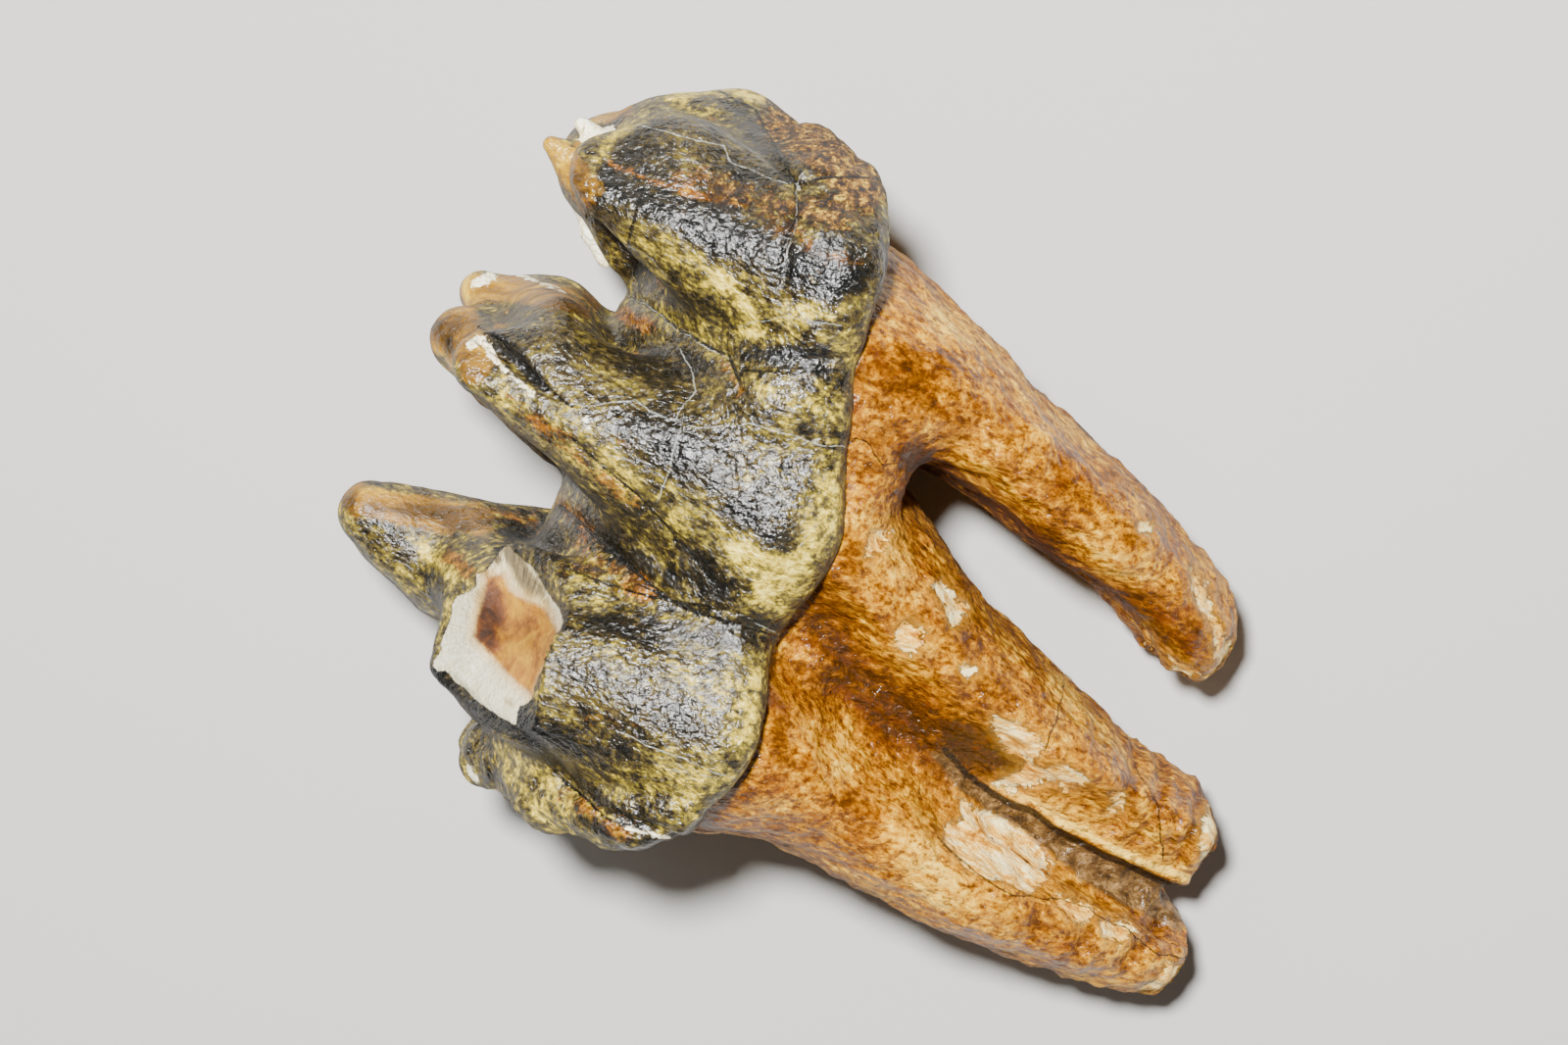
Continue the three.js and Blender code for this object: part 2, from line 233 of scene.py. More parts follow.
def roots(p):
    front_root = limb(p, FRONT_ROOT, power=2.3, end=FRONT_ROOT_END, blend=9)
    front_root = keep(front_root, -rope(p, FRONT_ROOT_GROOVE, 3), 5)
    front_lobe = limb(p, FRONT_LOBE, power=2.2, end=SHOWN_LOBE_END, blend=6)
    rear_lobe = limb(p, REAR_LOBE, power=2.2, end=REAR_LOBE_END, blend=7)
    rear_root = join(join(front_lobe, rear_lobe, 3), limb(p, WEB, power=2.6, end=WEB_END, blend=4), 2.5)
    rear_root = join(rear_root, cone(p, *LOBE_CORNER), 2)
    trunk = limb(p, TRUNK, power=3, end=TRUNK_END, blend=11)
    distance = join(join(front_root, rear_root, 5), trunk, 5)
    for groove, soft, edge in ((SHOWN_GROOVE, 3, 4), (HIDDEN_GROOVE, 3, 4), (WEB_HOLLOW, 1.5, 0.6)):
        distance = keep(distance, -rope(p, groove, soft), edge)
    return keep(distance, p[2] - ROOT_TOP, 5) - lumps(p)


# Crown
CROWN_BODY = [
    (0, -46, 44, -31, 31),
    (8, -51, 47.5, -34, 33),
    (15, -53.5, 49, -35, 34),
    (23, -54.5, 50, -34, 33),
    (31, -54, 49.5, -29, 28),
    (40, -49, 44, -20, 20),
    (46, -45, 39, -12, 12),
]
NECK_LINE = [
    (-56, 12.5),
    (-43, 9.3),
    (-35, 9.9),
    (-27, 9),
    (-18, 7),
    (-8, 4),
    (0, 3),
    (6, 3.8),
    (13.5, 6),
    (21, 5),
    (28, 4.8),
    (35, 5.8),
    (44, 7.6),
    (53, 10),
]
FACE_NORMAL = (-0.69, 0.63, 0.34)
COLUMNS = [
    ((RIDGE_X["front"], 21, 16, COLUMN_RADIUS), (-42, 19, 48, 7.5), 60.5),
    ((RIDGE_X["middle"], 21, LIP_HEIGHT, 18), (-10.5, 18, 57, 5.2), 39.5),
    ((RIDGE_X["rear"], SHOWN_CUSP_Y, 10, 18), (31.5, 17, 52, 7.5), None),
    ((RIDGE_X["front"], HIDDEN_CUSP_Y - 1, 14, COLUMN_RADIUS), (-40, -14, 44, 8), None),
    ((RIDGE_X["middle"], HIDDEN_CUSP_Y + 2, LIP_HEIGHT, 14.5), (-15.7, -17, 56, 3.2), None),
    ((RIDGE_X["rear"], HIDDEN_CUSP_Y - 0.5, LIP_HEIGHT, 18), (22, -18, 61.2, 4.8), None),
]
LINKS = [
    ((-43, 14, 38, 10), (-42, -13, 38, 9), 5),
    ((-11, 14, 47, 8), (-15, -14, 45, 7.5), 5),
    ((-9.5, -7, 58.5, 4.2), (-4.5, -6, 38, 9), 3),
    ((28, 12, 38, 8.5), (24, -14, 44, 7.5), 5),
    ((19.5, 12, 44, 5.5), (18.5, 17, 32, 6), 4),
    ((-41.3, -6, 55.2, 1.1), (-39.5, -6, 49, 3.2), 2),
    ((-39.5, -6, 49, 3.2), (-31.5, -6, 37.5, 5.5), 3),
    ((-47, -8, 38, 7.5), (-50.5, -8, 28, 8), 4),
    ((32.5, 6, 35, 9.5), (33.5, 3.5, 44.5, 4.7), 4),
    ((-20, 28, 16, 9.5), (-19, 27, 9, 9.5), 4),
    ((-12.5, -12, 54.5, 3.6), (-10, -8, 44, 8), 3),
    ((-9.5, -6, 57, 4), (-8.5, 4, 52, 6), 4),
    ((-17, 9, 48, 4.2), (-16, -6, 48.3, 3.4), 5),
    ((37.3, 2.3, 47.6, 1), (34.5, 3.5, 43, 3.5), 2),
    ((37.5, 4, 44, 2.2), (39, 9, 39, 3.5), 3),
    ((27, -18, 47, 7), (24, -18, 56, 5.8), 3),
]
CHIPS = [
    ((-45.6, -6, 51.8, 1.1), (-43, -6, 46, 2.2)),
    ((-33, -16, 46.3, 0.9), (-30, -16, 43.2, 1.5)),
    ((-30, -16, 43.2, 1.5), (-26.5, -16, 40, 0.8)),
    ((-33, -17.5, 44, 1.6), (-28, -17.5, 40, 1.6)),
]
FRONT_LIP = [
    (-42, 31, 17, 7),
    (-47.8, 22, 20, 7),
    (-50.5, 8, 21, 6.5),
    (-48.5, -10, 22, 6.5),
    (-46, -22, 19, 7),
    (-42, -31, 16, 7),
]
REAR_HEEL = [
    (41, 30, 11, 5),
    (46, 25, 18, 5),
    (49, 13, 27, 4.8),
    (48, -3, 32.8, 4.9),
    (47, -20, 28, 6),
    (42, -32, 16, 6),
]
BREAK_NORMAL = (0, 0.45, 0.893)
BREAK_LEVEL = 43.2
BREAK_PIT = (27.5, 17, 41)
BREAK_PIT_SIZE = (8, 7, 9)
BREAK_PIT_DEPTH = 4.5
BROKEN_CUSP = ((30, 13, 62, 20), (30, 13, 42, 17))
SPLIT = [
    (-13, 16.6, 58.6, 1.6),
    (-12.7, 19.3, 55.4, 1.4),
    (-10.8, 23.8, 50.7, 1),
    (-9.3, 26.4, 46.2, 0.5),
]


def lumps(p):
    """Broad shallow lumps over the whole surface."""
    x, y, z = p
    crosswise = np.sin(x / 5.3 + 1) * np.sin(y / 6.1 + 2) * np.sin(z / 7.7 + 0.5)
    slanting = np.sin((x + z) / 6.3) * np.sin((y - z) / 8.9 + 1.2)
    return LUMP_HEIGHT * (crosswise + slanting)


def crown_unbroken(p):
    x, y, z = p
    rearward = np.clip((x - FALL_START) / FALL_LENGTH, 0, 1)
    fall = VALLEY_FALL + (REAR_VALLEY_FALL - VALLEY_FALL) * rearward
    body = limb(p, CROWN_BODY, power=3, end=CROWN_BODY_END, blend=4)
    distance = keep(body, z - (VALLEY_HEIGHT - fall * y * y), 7)
    for foot, tip, face in COLUMNS:
        column = cone(p, foot, tip)
        if face is not None:
            column = keep(column, level(p, FACE_NORMAL) - face, 3)
        distance = join(distance, column, 4)
    for start, end, blend in LINKS:
        distance = join(distance, cone(p, start, end), blend)
    for start, end in CHIPS:
        distance = join(distance, cone(p, start, end), 1.3)
    distance = join(distance, rope(p, FRONT_LIP, 3), 3)
    distance = join(distance, rope(p, REAR_HEEL, 3), 3)
    inward = np.maximum(NECK_RADIUS - np.hypot(NECK_SQUASH * x, y), 0)
    return keep(distance, along(NECK_LINE, x, 1) - z - NECK_DISH * inward, 4)


def crown(p):
    spread = sum(((q - middle) / size) ** 2 for q, middle, size in zip(p, BREAK_PIT, BREAK_PIT_SIZE))
    above = level(p, BREAK_NORMAL) - BREAK_LEVEL + BREAK_PIT_DEPTH * np.exp(-spread)
    lost = keep(-above, cone(p, *BROKEN_CUSP), 1.5)
    whole = keep(crown_unbroken(p), -rope(p, SPLIT, 0.5), 0.5)
    return keep(whole, -lost, 0.8) - lumps(p)


# Drawing a surface from a distance
NEAR = 6.0
COARSE = 4
BATCH = 400000
PINCH_PASSES = 40
CELL_CORNERS = [(a, b, c) for a in (0, 1) for b in (0, 1) for c in (0, 1)]


def sample(shape, axes):
    """Distances over a grid. Away from the surface a coarse grid's values stand in."""
    coarse_axes = [axis[::COARSE] for axis in axes]
    grid = np.meshgrid(*coarse_axes, indexing="ij")
    coarse = shape(tuple(g.astype(np.float32) for g in grid))
    where = [np.clip(np.rint(np.arange(len(axis)) / COARSE).astype(int), 0, len(c) - 1)
             for axis, c in zip(axes, coarse_axes)]
    values = coarse[np.ix_(*where)]
    i, j, k = np.nonzero(np.abs(values) < NEAR)
    for start in range(0, len(i), BATCH):
        part = slice(start, start + BATCH)
        spots = (axes[0][i[part]], axes[1][j[part]], axes[2][k[part]])
        values[i[part], j[part], k[part]] = shape(tuple(s.astype(np.float32) for s in spots))
    return values


def shifted(grid, corner):
    """The grid from one corner of its cells. An axis given as None stays whole."""
    return grid[tuple(slice(None) if o is None else slice(o, o - 1 or None) for o in corner)]


def fill_pinches(values):
    """Fills the few cells whose pattern would make two parts of the surface share one edge."""
    for _ in range(PINCH_PASSES):
        inside = values < 0
        marked = np.zeros_like(inside)
        for axis in range(3):
            corners = [list(corner) for corner in CELL_CORNERS if corner[axis] == 0]
            for corner in corners:
                corner[axis] = None
            near, left, right, far = (shifted(inside, corner) for corner in corners)
            crossed = (near == far) & (left == right) & (near != left)
            for corner in corners:
                view = shifted(marked, corner)
                view |= crossed
        count = sum(shifted(inside, c).astype(np.int8) for c in CELL_CORNERS)
        for b, c in ((0, 0), (0, 1), (1, 0), (1, 1)):
            one = shifted(inside, (0, b, c))
            other = shifted(inside, (1, 1 - b, 1 - c))
            apart = (one & other & (count == 2)) | (~one & ~other & (count == 6))
            for corner in CELL_CORNERS:
                view = shifted(marked, corner)
                view |= apart
        if not marked.any():
            return values
        values = np.where(marked & ~inside, np.float32(-0.001), values)
    raise RuntimeError("the surface could not be made clean")


def draw_surface(shape, axes):
    """Points and four-sided faces of the surface where the distance is nought."""
    values = fill_pinches(sample(shape, axes))
    inside = values < 0
    count = sum(shifted(inside, c).astype(np.int8) for c in CELL_CORNERS)
    cells = np.argwhere((count > 0) & (count < 8))
    number = -np.ones(count.shape, np.int32)
    number[tuple(cells.T)] = np.arange(len(cells))
    total = np.zeros((len(cells), 3))
    crossings = np.zeros(len(cells))
    for a in CELL_CORNERS:
        for b in CELL_CORNERS:
            if a < b and sum(abs(p - q) for p, q in zip(a, b)) == 1:
                at_a, at_b = cells + a, cells + b
                va, vb = values[tuple(at_a.T)], values[tuple(at_b.T)]
                cross = (va < 0) != (vb < 0)
                t = np.where(cross, va / np.where(cross, va - vb, 1), 0)[:, None]
                spot_a = np.stack([axes[n][at_a[:, n]] for n in range(3)], 1)
                spot_b = np.stack([axes[n][at_b[:, n]] for n in range(3)], 1)
                total += np.where(cross[:, None], spot_a * (1 - t) + spot_b * t, 0)
                crossings += cross
    points = total / crossings[:, None]
    faces = []
    for axis in range(3):
        low, high = ([step if n == axis else None for n in range(3)] for step in (0, 1))
        edges = np.argwhere(shifted(inside, low) != shifted(inside, high))
        u = np.eye(3, dtype=int)[(axis + 1) % 3]
        v = np.eye(3, dtype=int)[(axis + 2) % 3]
        ring = [edges - u - v, edges - v, edges, edges - u]
        quads = np.stack([number[tuple(spot.T)] for spot in ring], 1)
        turned = ~inside[tuple(edges.T)]
        quads[turned] = quads[turned][:, ::-1]
        faces.append(quads)
    return points, np.concatenate(faces)


def gradient(shape, points, nudge=0.05):
    spots = points.astype(np.float64)
    here = shape(tuple(spots.T))
    slopes = []
    for axis in range(3):
        moved = spots.copy()
        moved[:, axis] += nudge
        slopes.append((shape(tuple(moved.T)) - here) / nudge)
    return here, np.stack(slopes, 1)


def pull_on(shape, points, passes=3):
    for _ in range(passes):
        here, slope = gradient(shape, points)
        size = np.maximum((slope ** 2).sum(1), 0.2)
        points = points - np.clip(slope * (here / size)[:, None], -0.4, 0.4)
    return points


def outward(shape, points):
    slope = gradient(shape, points)[1]
    return slope / np.maximum(np.linalg.norm(slope, axis=1, keepdims=True), 1e-6)


# Irregularity
SCRAMBLERS = (374761393, 668265263, 2246822519, 2654435761, 3266489917)


def chance(i, j, k, seed):
    """A fixed number from 0 to 1 for each whole grid place."""
    mix = np.uint32(seed * SCRAMBLERS[4] % 2 ** 32)
    for places, scrambler in zip((i, j, k), SCRAMBLERS):
        mix = mix ^ (places.astype(np.uint32) * np.uint32(scrambler))
    for shift, scrambler in zip((15, 13), SCRAMBLERS[3:]):
        mix = (mix ^ (mix >> np.uint32(shift))) * np.uint32(scrambler)
    return (mix ^ (mix >> np.uint32(16))).astype(np.float64) / 2 ** 32


def noise(points, size, seed, octaves=4, fade=0.5):
    """Cloudy noise from about -1 to 1, whose largest features are about size millimetres."""
    total = np.zeros(len(points))
    reach = 0.0
    for octave in range(octaves):
        spots = points / np.asarray(size) * 2 ** octave + 31.7 * octave + 500
        cell = np.floor(spots).astype(np.int64)
        t = spots - cell
        t = t * t * (3 - 2 * t)
        value = np.zeros(len(points))
        for corner in CELL_CORNERS:
            share = np.where(corner, t, 1 - t).prod(1)
            value += share * chance(*(cell + corner).T, seed + octave)
        weight = fade ** octave
        total += weight * (2 * value - 1)
        reach += weight
    return total / reach


def ramp(value, low, high):
    t = np.clip((value - low) / (high - low), 0, 1)
    return t * t * (3 - 2 * t)


# Laying the tooth down, and looking at it as the photograph does
def turn_matrix():
    c, s = math.cos(LAY_OVER + REST_ROLL), math.sin(LAY_OVER + REST_ROLL)
    roll = np.array([[1, 0, 0], [0, c, -s], [0, s, c]])
    c, s = math.cos(REST_PITCH), math.sin(REST_PITCH)
    pitch = np.array([[c, 0, s], [0, 1, 0], [-s, 0, c]])
    return pitch @ roll


def camera_axes():
    toward = SEEN_FROM / np.linalg.norm(SEEN_FROM)
    rise = np.array([0, 0, 1.0])
    rise = rise - rise.dot(toward) * toward
    rise /= np.linalg.norm(rise)
    side = np.cross(toward, rise)
    right = math.cos(SEEN_TURN) * rise - math.sin(SEEN_TURN) * side
    up = math.sin(SEEN_TURN) * rise + math.cos(SEEN_TURN) * side
    return toward, right, up


def eye():
    toward, right, up = camera_axes()
    across = (PHOTO_WIDTH / 2 - TOOTH_PIXEL[0]) / PHOTO_SCALE
    down = (PHOTO_HEIGHT / 2 - TOOTH_PIXEL[1]) / PHOTO_SCALE
    return toward * SEEN_DISTANCE + right * across - up * down


def seen_at(points):
    """Pixel of the photograph at which each point of the tooth is seen."""
    toward, right, up = camera_axes()
    off = points - eye()
    scale = PHOTO_SCALE * SEEN_DISTANCE / -(off @ toward)
    return np.stack([PHOTO_WIDTH / 2 + off @ right * scale, PHOTO_HEIGHT / 2 - off @ up * scale], 1)


def facing(normals):
    """How far each normal points to the camera: 1 straight at it, and below nought away from it."""
    return normals @ camera_axes()[0]


def in_view(points):
    """1 where a point is open to the camera, and 0 where the tooth itself hides it."""
    far = -(points @ camera_axes()[0])
    cells = np.floor(seen_at(points) / VIEW_CELL).astype(int)
    cells -= cells.min(0)
    key = cells[:, 0] * (cells[:, 1].max() + 1) + cells[:, 1]
    nearest = np.full(key.max() + 1, np.inf)
    np.minimum.at(nearest, key, far)
    return 1 - ramp(far - nearest[key], *HIDDEN_DEPTHS)


def line_distance(seen, pixels):
    """Pixels from each point to a line, how far along it from 0 to 1, and pixels to one side of it."""
    near = np.full(len(seen), 1e6)
    share, side = near, near
    for n, (start, end) in enumerate(zip(pixels[:-1], pixels[1:])):
        off = seen - start
        run = np.subtract(end, start)
        length = math.hypot(*run)
        t = np.clip(off @ run / length ** 2, 0, 1)
        away = np.linalg.norm(off - t[:, None] * run, axis=1)
        closer = away < near
        near = np.where(closer, away, near)
        share = np.where(closer, (n + t) / (len(pixels) - 1), share)
        side = np.where(closer, (run[0] * off[:, 1] - run[1] * off[:, 0]) / length, side)
    return near, share, side


def crack_marks(points, lines, shake):
    """Pixels to the nearest crack: one value changes sign across it, and the other does not."""
    seen = seen_at(points) + shake * np.stack([noise(points, 7, seed, 4, 0.6) for seed in (201, 231)], 1)
    side = near = np.full(len(seen), 1e3)
    for pixels in lines:
        away, _, across = line_distance(seen, pixels)
        side = np.where(away < near, across, side)
        near = np.minimum(away, near)
    return side, near


def within(seen, corners):
    """Pixels that each point lies inside a closed outline, below nought outside it."""
    inside = np.zeros(len(seen), bool)
    for (x1, y1), (x2, y2) in zip(corners, corners[1:] + corners[:1]):
        if y1 != y2:
            crossed = (seen[:, 1] > min(y1, y2)) & (seen[:, 1] <= max(y1, y2))
            inside ^= crossed & (seen[:, 0] < x1 + (x2 - x1) * (seen[:, 1] - y1) / (y2 - y1))
    away = line_distance(seen, corners + corners[:1])[0]
    return np.where(inside, away, -away)


def painted(seen, strokes):
    """Sum of soft brush strokes, each given as its reach in pixels, its strength and its pixels."""
    return sum(strength * np.exp(-(line_distance(seen, pixels)[0] / reach) ** 2)
               for reach, strength, *pixels in strokes)


# Places on the crown, in pixels of the photograph. A stroke is its reach, its strength and its
# pixels, and where it shapes the surface its strength is in millimetres.
PALE_STROKES = [
    (13, 0.45, (640, 238), (700, 262), (745, 290)),
    (13, 1.0, (735, 285), (765, 322), (768, 342)),
    (11, 1.0, (812, 315), (850, 320), (872, 306)),
    (8, 0.8, (884, 305), (896, 278)),
    (5, 0.7, (755, 338), (812, 346)),
    (12, 0.5, (775, 398), (842, 408)),
    (12, 0.35, (790, 425), (850, 430)),
    (12, 0.7, (848, 455), (852, 510)),
    (25, 1.5, (758, 560), (800, 582), (780, 604)),
    (15, 0.9, (815, 575), (842, 530)),
    (8, 0.5, (745, 606), (800, 622)),
    (13, 0.45, (470, 372), (520, 428), (565, 478)),
    (9, 0.5, (620, 470), (660, 505), (700, 550)),
    (14, 1.1, (425, 560), (468, 592)),
    (9, 0.4, (590, 588), (640, 596)),
    (7, 0.4, (560, 608), (640, 622)),
    (15, 0.6, (640, 782), (700, 815), (690, 840)),
    (11, 0.5, (756, 770), (766, 700), (775, 665)),
    (8, 0.6, (565, 788), (610, 826)),
    (7, 0.8, (545, 826), (570, 836)),
    (6, 0.9, (555, 790), (572, 812), (582, 830)),
    (4, 0.9, (600, 820), (640, 845), (690, 858)),
    (12, 0.4, (505, 770), (525, 785)),
    (5, 1.2, (680, 98), (745, 91), (775, 100)),
    (5, 1.1, (888, 172), (905, 215)),
    (6, 1.5, (655, 120), (626, 140), (606, 168), (602, 190)),
    (8, 0.5, (612, 200), (640, 245)),
]
BLACK_STROKES = [
    (26, 0.5, (640, 140), (710, 155), (770, 175)),
    (24, 1.0, (622, 190), (690, 216), (760, 248), (850, 290)),
    (22, 0.9, (835, 272), (890, 288)),
    (12, 0.5, (755, 118), (790, 150), (806, 178)),
    (10, 0.8, (765, 364), (845, 360)),
    (9, 0.5, (640, 258), (662, 292), (706, 318)),
    (30, 0.42, (530, 345), (640, 365), (705, 400)),
    (11, 0.6, (700, 362), (748, 388)),
    (24, 0.65, (640, 432), (730, 490), (800, 545)),
    (10, 0.9, (745, 520), (800, 562)),
    (13, 0.9, (700, 558), (742, 590)),
    (11, 0.8, (690, 588), (760, 612), (792, 640)),
    (14, 0.8, (590, 530), (625, 552), (660, 580)),
    (15, 1.2, (528, 545), (565, 556)),
    (16, 0.7, (575, 628), (660, 640), (760, 656)),
    (24, 0.55, (585, 690), (650, 722), (695, 738)),
    (12, 0.6, (555, 745), (600, 770)),
    (8, 1.3, (446, 692), (500, 738), (548, 752)),
    (6, 0.9, (552, 764), (600, 808), (650, 842)),
    (8, 0.7, (590, 840), (690, 862)),
    (9, 0.6, (400, 545), (455, 605)),
    (6, 0.7, (380, 528), (440, 538)),
    (5, 1.8, (505, 345), (530, 368), (556, 396)),
    (7, 1.5, (536, 716), (532, 730), (542, 738)),
]
RUST_STROKES = [
    (17, 0.6, (700, 180), (770, 200), (812, 236)),
    (12, 0.5, (825, 255), (872, 266)),
    (12, 0.55, (552, 432), (600, 472), (645, 512)),
    (8, 0.4, (515, 400), (548, 432)),
    (13, 0.6, (545, 468), (572, 512), (596, 536)),
    (13, 0.55, (590, 562), (652, 592)),
    (10, 1.0, (642, 600), (664, 606)),
    (9, 1.0, (458, 568), (476, 582)),
    (10, 0.4, (600, 734), (648, 748)),
    (10, 0.7, (575, 812), (640, 850)),
    (6, 0.4, (620, 448), (650, 455)),
    (8, 1.3, (636, 320), (662, 334)),
    (10, 0.6, (470, 520), (545, 530)),
    (7, 0.5, (735, 365), (756, 400)),
    (4, 0.75, (622, 166), (660, 182), (700, 197), (760, 208)),
    (9, 1.0, (560, 152), (585, 180), (600, 205)),
]
AMBER_STROKES = [
    (19, 1.1, (365, 510), (430, 522), (490, 532)),
    (18, 1.3, (448, 345), (470, 325), (485, 375)),
    (14, 1.4, (480, 292), (540, 296), (600, 312)),
    (16, 1.2, (560, 150), (598, 190)),
    (10, 0.8, (610, 120), (640, 112)),
]
CRUST_STROKES = [
    (26, 1.2, (800, 125), (850, 155), (882, 195)),
    (20, 0.75, (740, 195), (800, 212), (850, 225)),
    (16, 0.5, (570, 580), (640, 592)),
]
CALM_STROKES = [
    (34, 1.0, (640, 140), (710, 155), (770, 175)),
    (42, 1.0, (530, 345), (640, 365), (705, 400)),
    (26, 0.7, (640, 440), (730, 500), (790, 545)),
    (32, 0.8, (585, 690), (650, 722), (730, 745)),
    (26, 1.0, (630, 190), (760, 248), (870, 295)),
]
DULL_STROKES = [
    (18, 0.8, (380, 510), (430, 535), (460, 560)),
    (30, 0.5, (820, 140), (880, 200), (850, 240)),
]
# Darker strokes on the broken cusp: the grey fibrous enamel at its top, and painted shade on the dentine's
# left face, in its creases and above its bulge.
GREY_FIBRES_AND_SHADE_STROKES = [
    (11, 1.2, (496, 610), (499, 648)),
    (10, 0.3, (520, 636), (545, 628)),
    (6, 0.7, (502, 654), (506, 662)),
    (5, 0.5, (508, 600), (514, 640)),
    (3.5, 0.4, (516, 652), (530, 645), (548, 641)),
    (5, 1.0, (489, 560), (496, 585)),
    (4, 1.2, (504, 550), (508, 572)),
    (9, 1.5, (522, 562), (532, 584), (543, 600)),
    (6, 0.8, (555, 700), (540, 722)),
    (5, 0.6, (552, 600), (560, 625)),
    (3, 0.5, (517, 715), (525, 719)),
]
WHITE_STROKES = [
    (5, 1.1, (480, 352), (489, 346), (500, 357)),
    (3.5, 0.9, (500, 360), (520, 382), (543, 402)),
    (6, 1.2, (484, 290), (501, 282)),
    (2.5, 0.8, (520, 277), (575, 297)),
    (4, 1.0, (478, 784), (486, 796)),
    (4, 0.9, (598, 429), (601, 436)),
    (3, 0.9, (640, 845), (690, 857)),
]
GROOVES = [
    (5, 0.7, (680, 101), (742, 123), (792, 165), (814, 189)),
    (4, 0.5, (814, 189), (812, 215), (804, 245), (800, 290)),
    (4, 0.4, (814, 189), (850, 178), (880, 160)),
    (6, 0.6, (640, 300), (700, 340), (745, 365), (752, 400)),
    (4, 0.4, (760, 372), (800, 372), (850, 365)),
    (6, 0.7, (575, 520), (620, 560), (668, 600), (700, 625), (790, 652)),
    (5, 0.35, (560, 460), (620, 520), (690, 590)),
    (5, 0.3, (590, 452), (660, 515), (730, 590)),
    (6, 0.9, (455, 692), (505, 735), (552, 764), (580, 800), (620, 830), (690, 856)),
    (4, 0.4, (680, 622), (730, 622), (790, 640)),
]
CRACKS = [
    [(588, 413), (602, 416), (625, 408), (650, 407), (665, 420), (690, 428), (712, 434), (730, 432)],
    [(690, 428), (700, 410), (712, 398), (706, 378), (700, 362)],
    [(697, 430), (690, 455), (682, 480), (672, 505)],
    [(730, 432), (770, 432), (795, 441), (825, 450), (857, 458)],
    [(655, 127), (700, 140), (740, 150), (745, 165), (765, 172), (800, 186)],
    [(640, 250), (665, 262), (680, 280)],
    [(815, 190), (812, 230), (803, 262)],
    [(640, 750), (700, 775), (748, 795)],
    [(640, 300), (690, 335), (740, 362)],
    [(760, 330), (800, 322), (850, 330)],
    [(774, 638), (798, 650)],
]
DARK_LINES = [
    [(492, 335), (515, 350), (545, 385), (580, 412)],
    [(484, 734), (520, 750), (552, 764), (575, 795), (620, 835), (660, 850)],
    [(730, 92), (770, 112), (790, 150), (812, 187)],
    [(812, 187), (850, 180), (882, 181)],
    [(812, 190), (815, 215), (800, 250)],
    [(640, 300), (700, 340), (745, 362), (752, 382)],
    [(575, 520), (620, 560), (668, 600), (700, 622), (790, 650)],
    [(760, 378), (800, 380), (850, 380)],
    [(590, 452), (660, 515), (720, 580)],
    [(655, 200), (640, 245), (650, 285)],
    [(590, 585), (650, 606), (720, 618)],
]
BREAK_EDGE = [
    (441, 681), (443, 673), (451, 664), (450, 657), (454, 643), (461, 630), (461, 617), (466, 609),
    (482, 602), (486, 595), (485, 583), (487, 568), (486, 555), (499, 550), (507, 544), (520, 541),
    (521, 560), (530, 568), (545, 580), (556, 600), (573, 625), (574, 650), (568, 662), (560, 673),
    (551, 687), (546, 699), (545, 708), (539, 718), (531, 720), (528, 728), (526, 740), (509, 731),
    (491, 718), (472, 705), (460, 689), (454, 684), (446, 685),
]
DENTINE_EDGE = [
    (496, 588), (513, 586), (519, 602), (530, 609), (545, 615), (557, 622), (568, 642), (570, 652),
    (565, 665), (552, 684), (547, 696), (544, 709), (528, 697), (515, 684), (502, 669), (492, 658),
    (483, 650), (487, 629), (492, 614), (496, 602),
]
BREAK_MIDDLE = (525, 650)
BREAK_RELIEF = [
    (15, 0.8, (538, 672), (548, 660)),
    (9, -0.9, (496, 620), (498, 645)),
    (4, -0.4, (512, 655), (528, 646), (560, 640)),
    (8, -0.5, (530, 580), (545, 598)),
]


def shared_marks(points, normals, **lines):
    """The values that both materials use: where paint is seen, where it is dull, and the cracks."""
    front = facing(normals)
    marks = {"shown": ramp(front, -0.05, 0.1) * in_view(points), "dull": 1 - ramp(front, 0.1, 0.6)}
    for kind, (places, shake) in lines.items():
        marks[kind + "_side"], marks[kind + "_near"] = crack_marks(points, places, shake)
    return marks


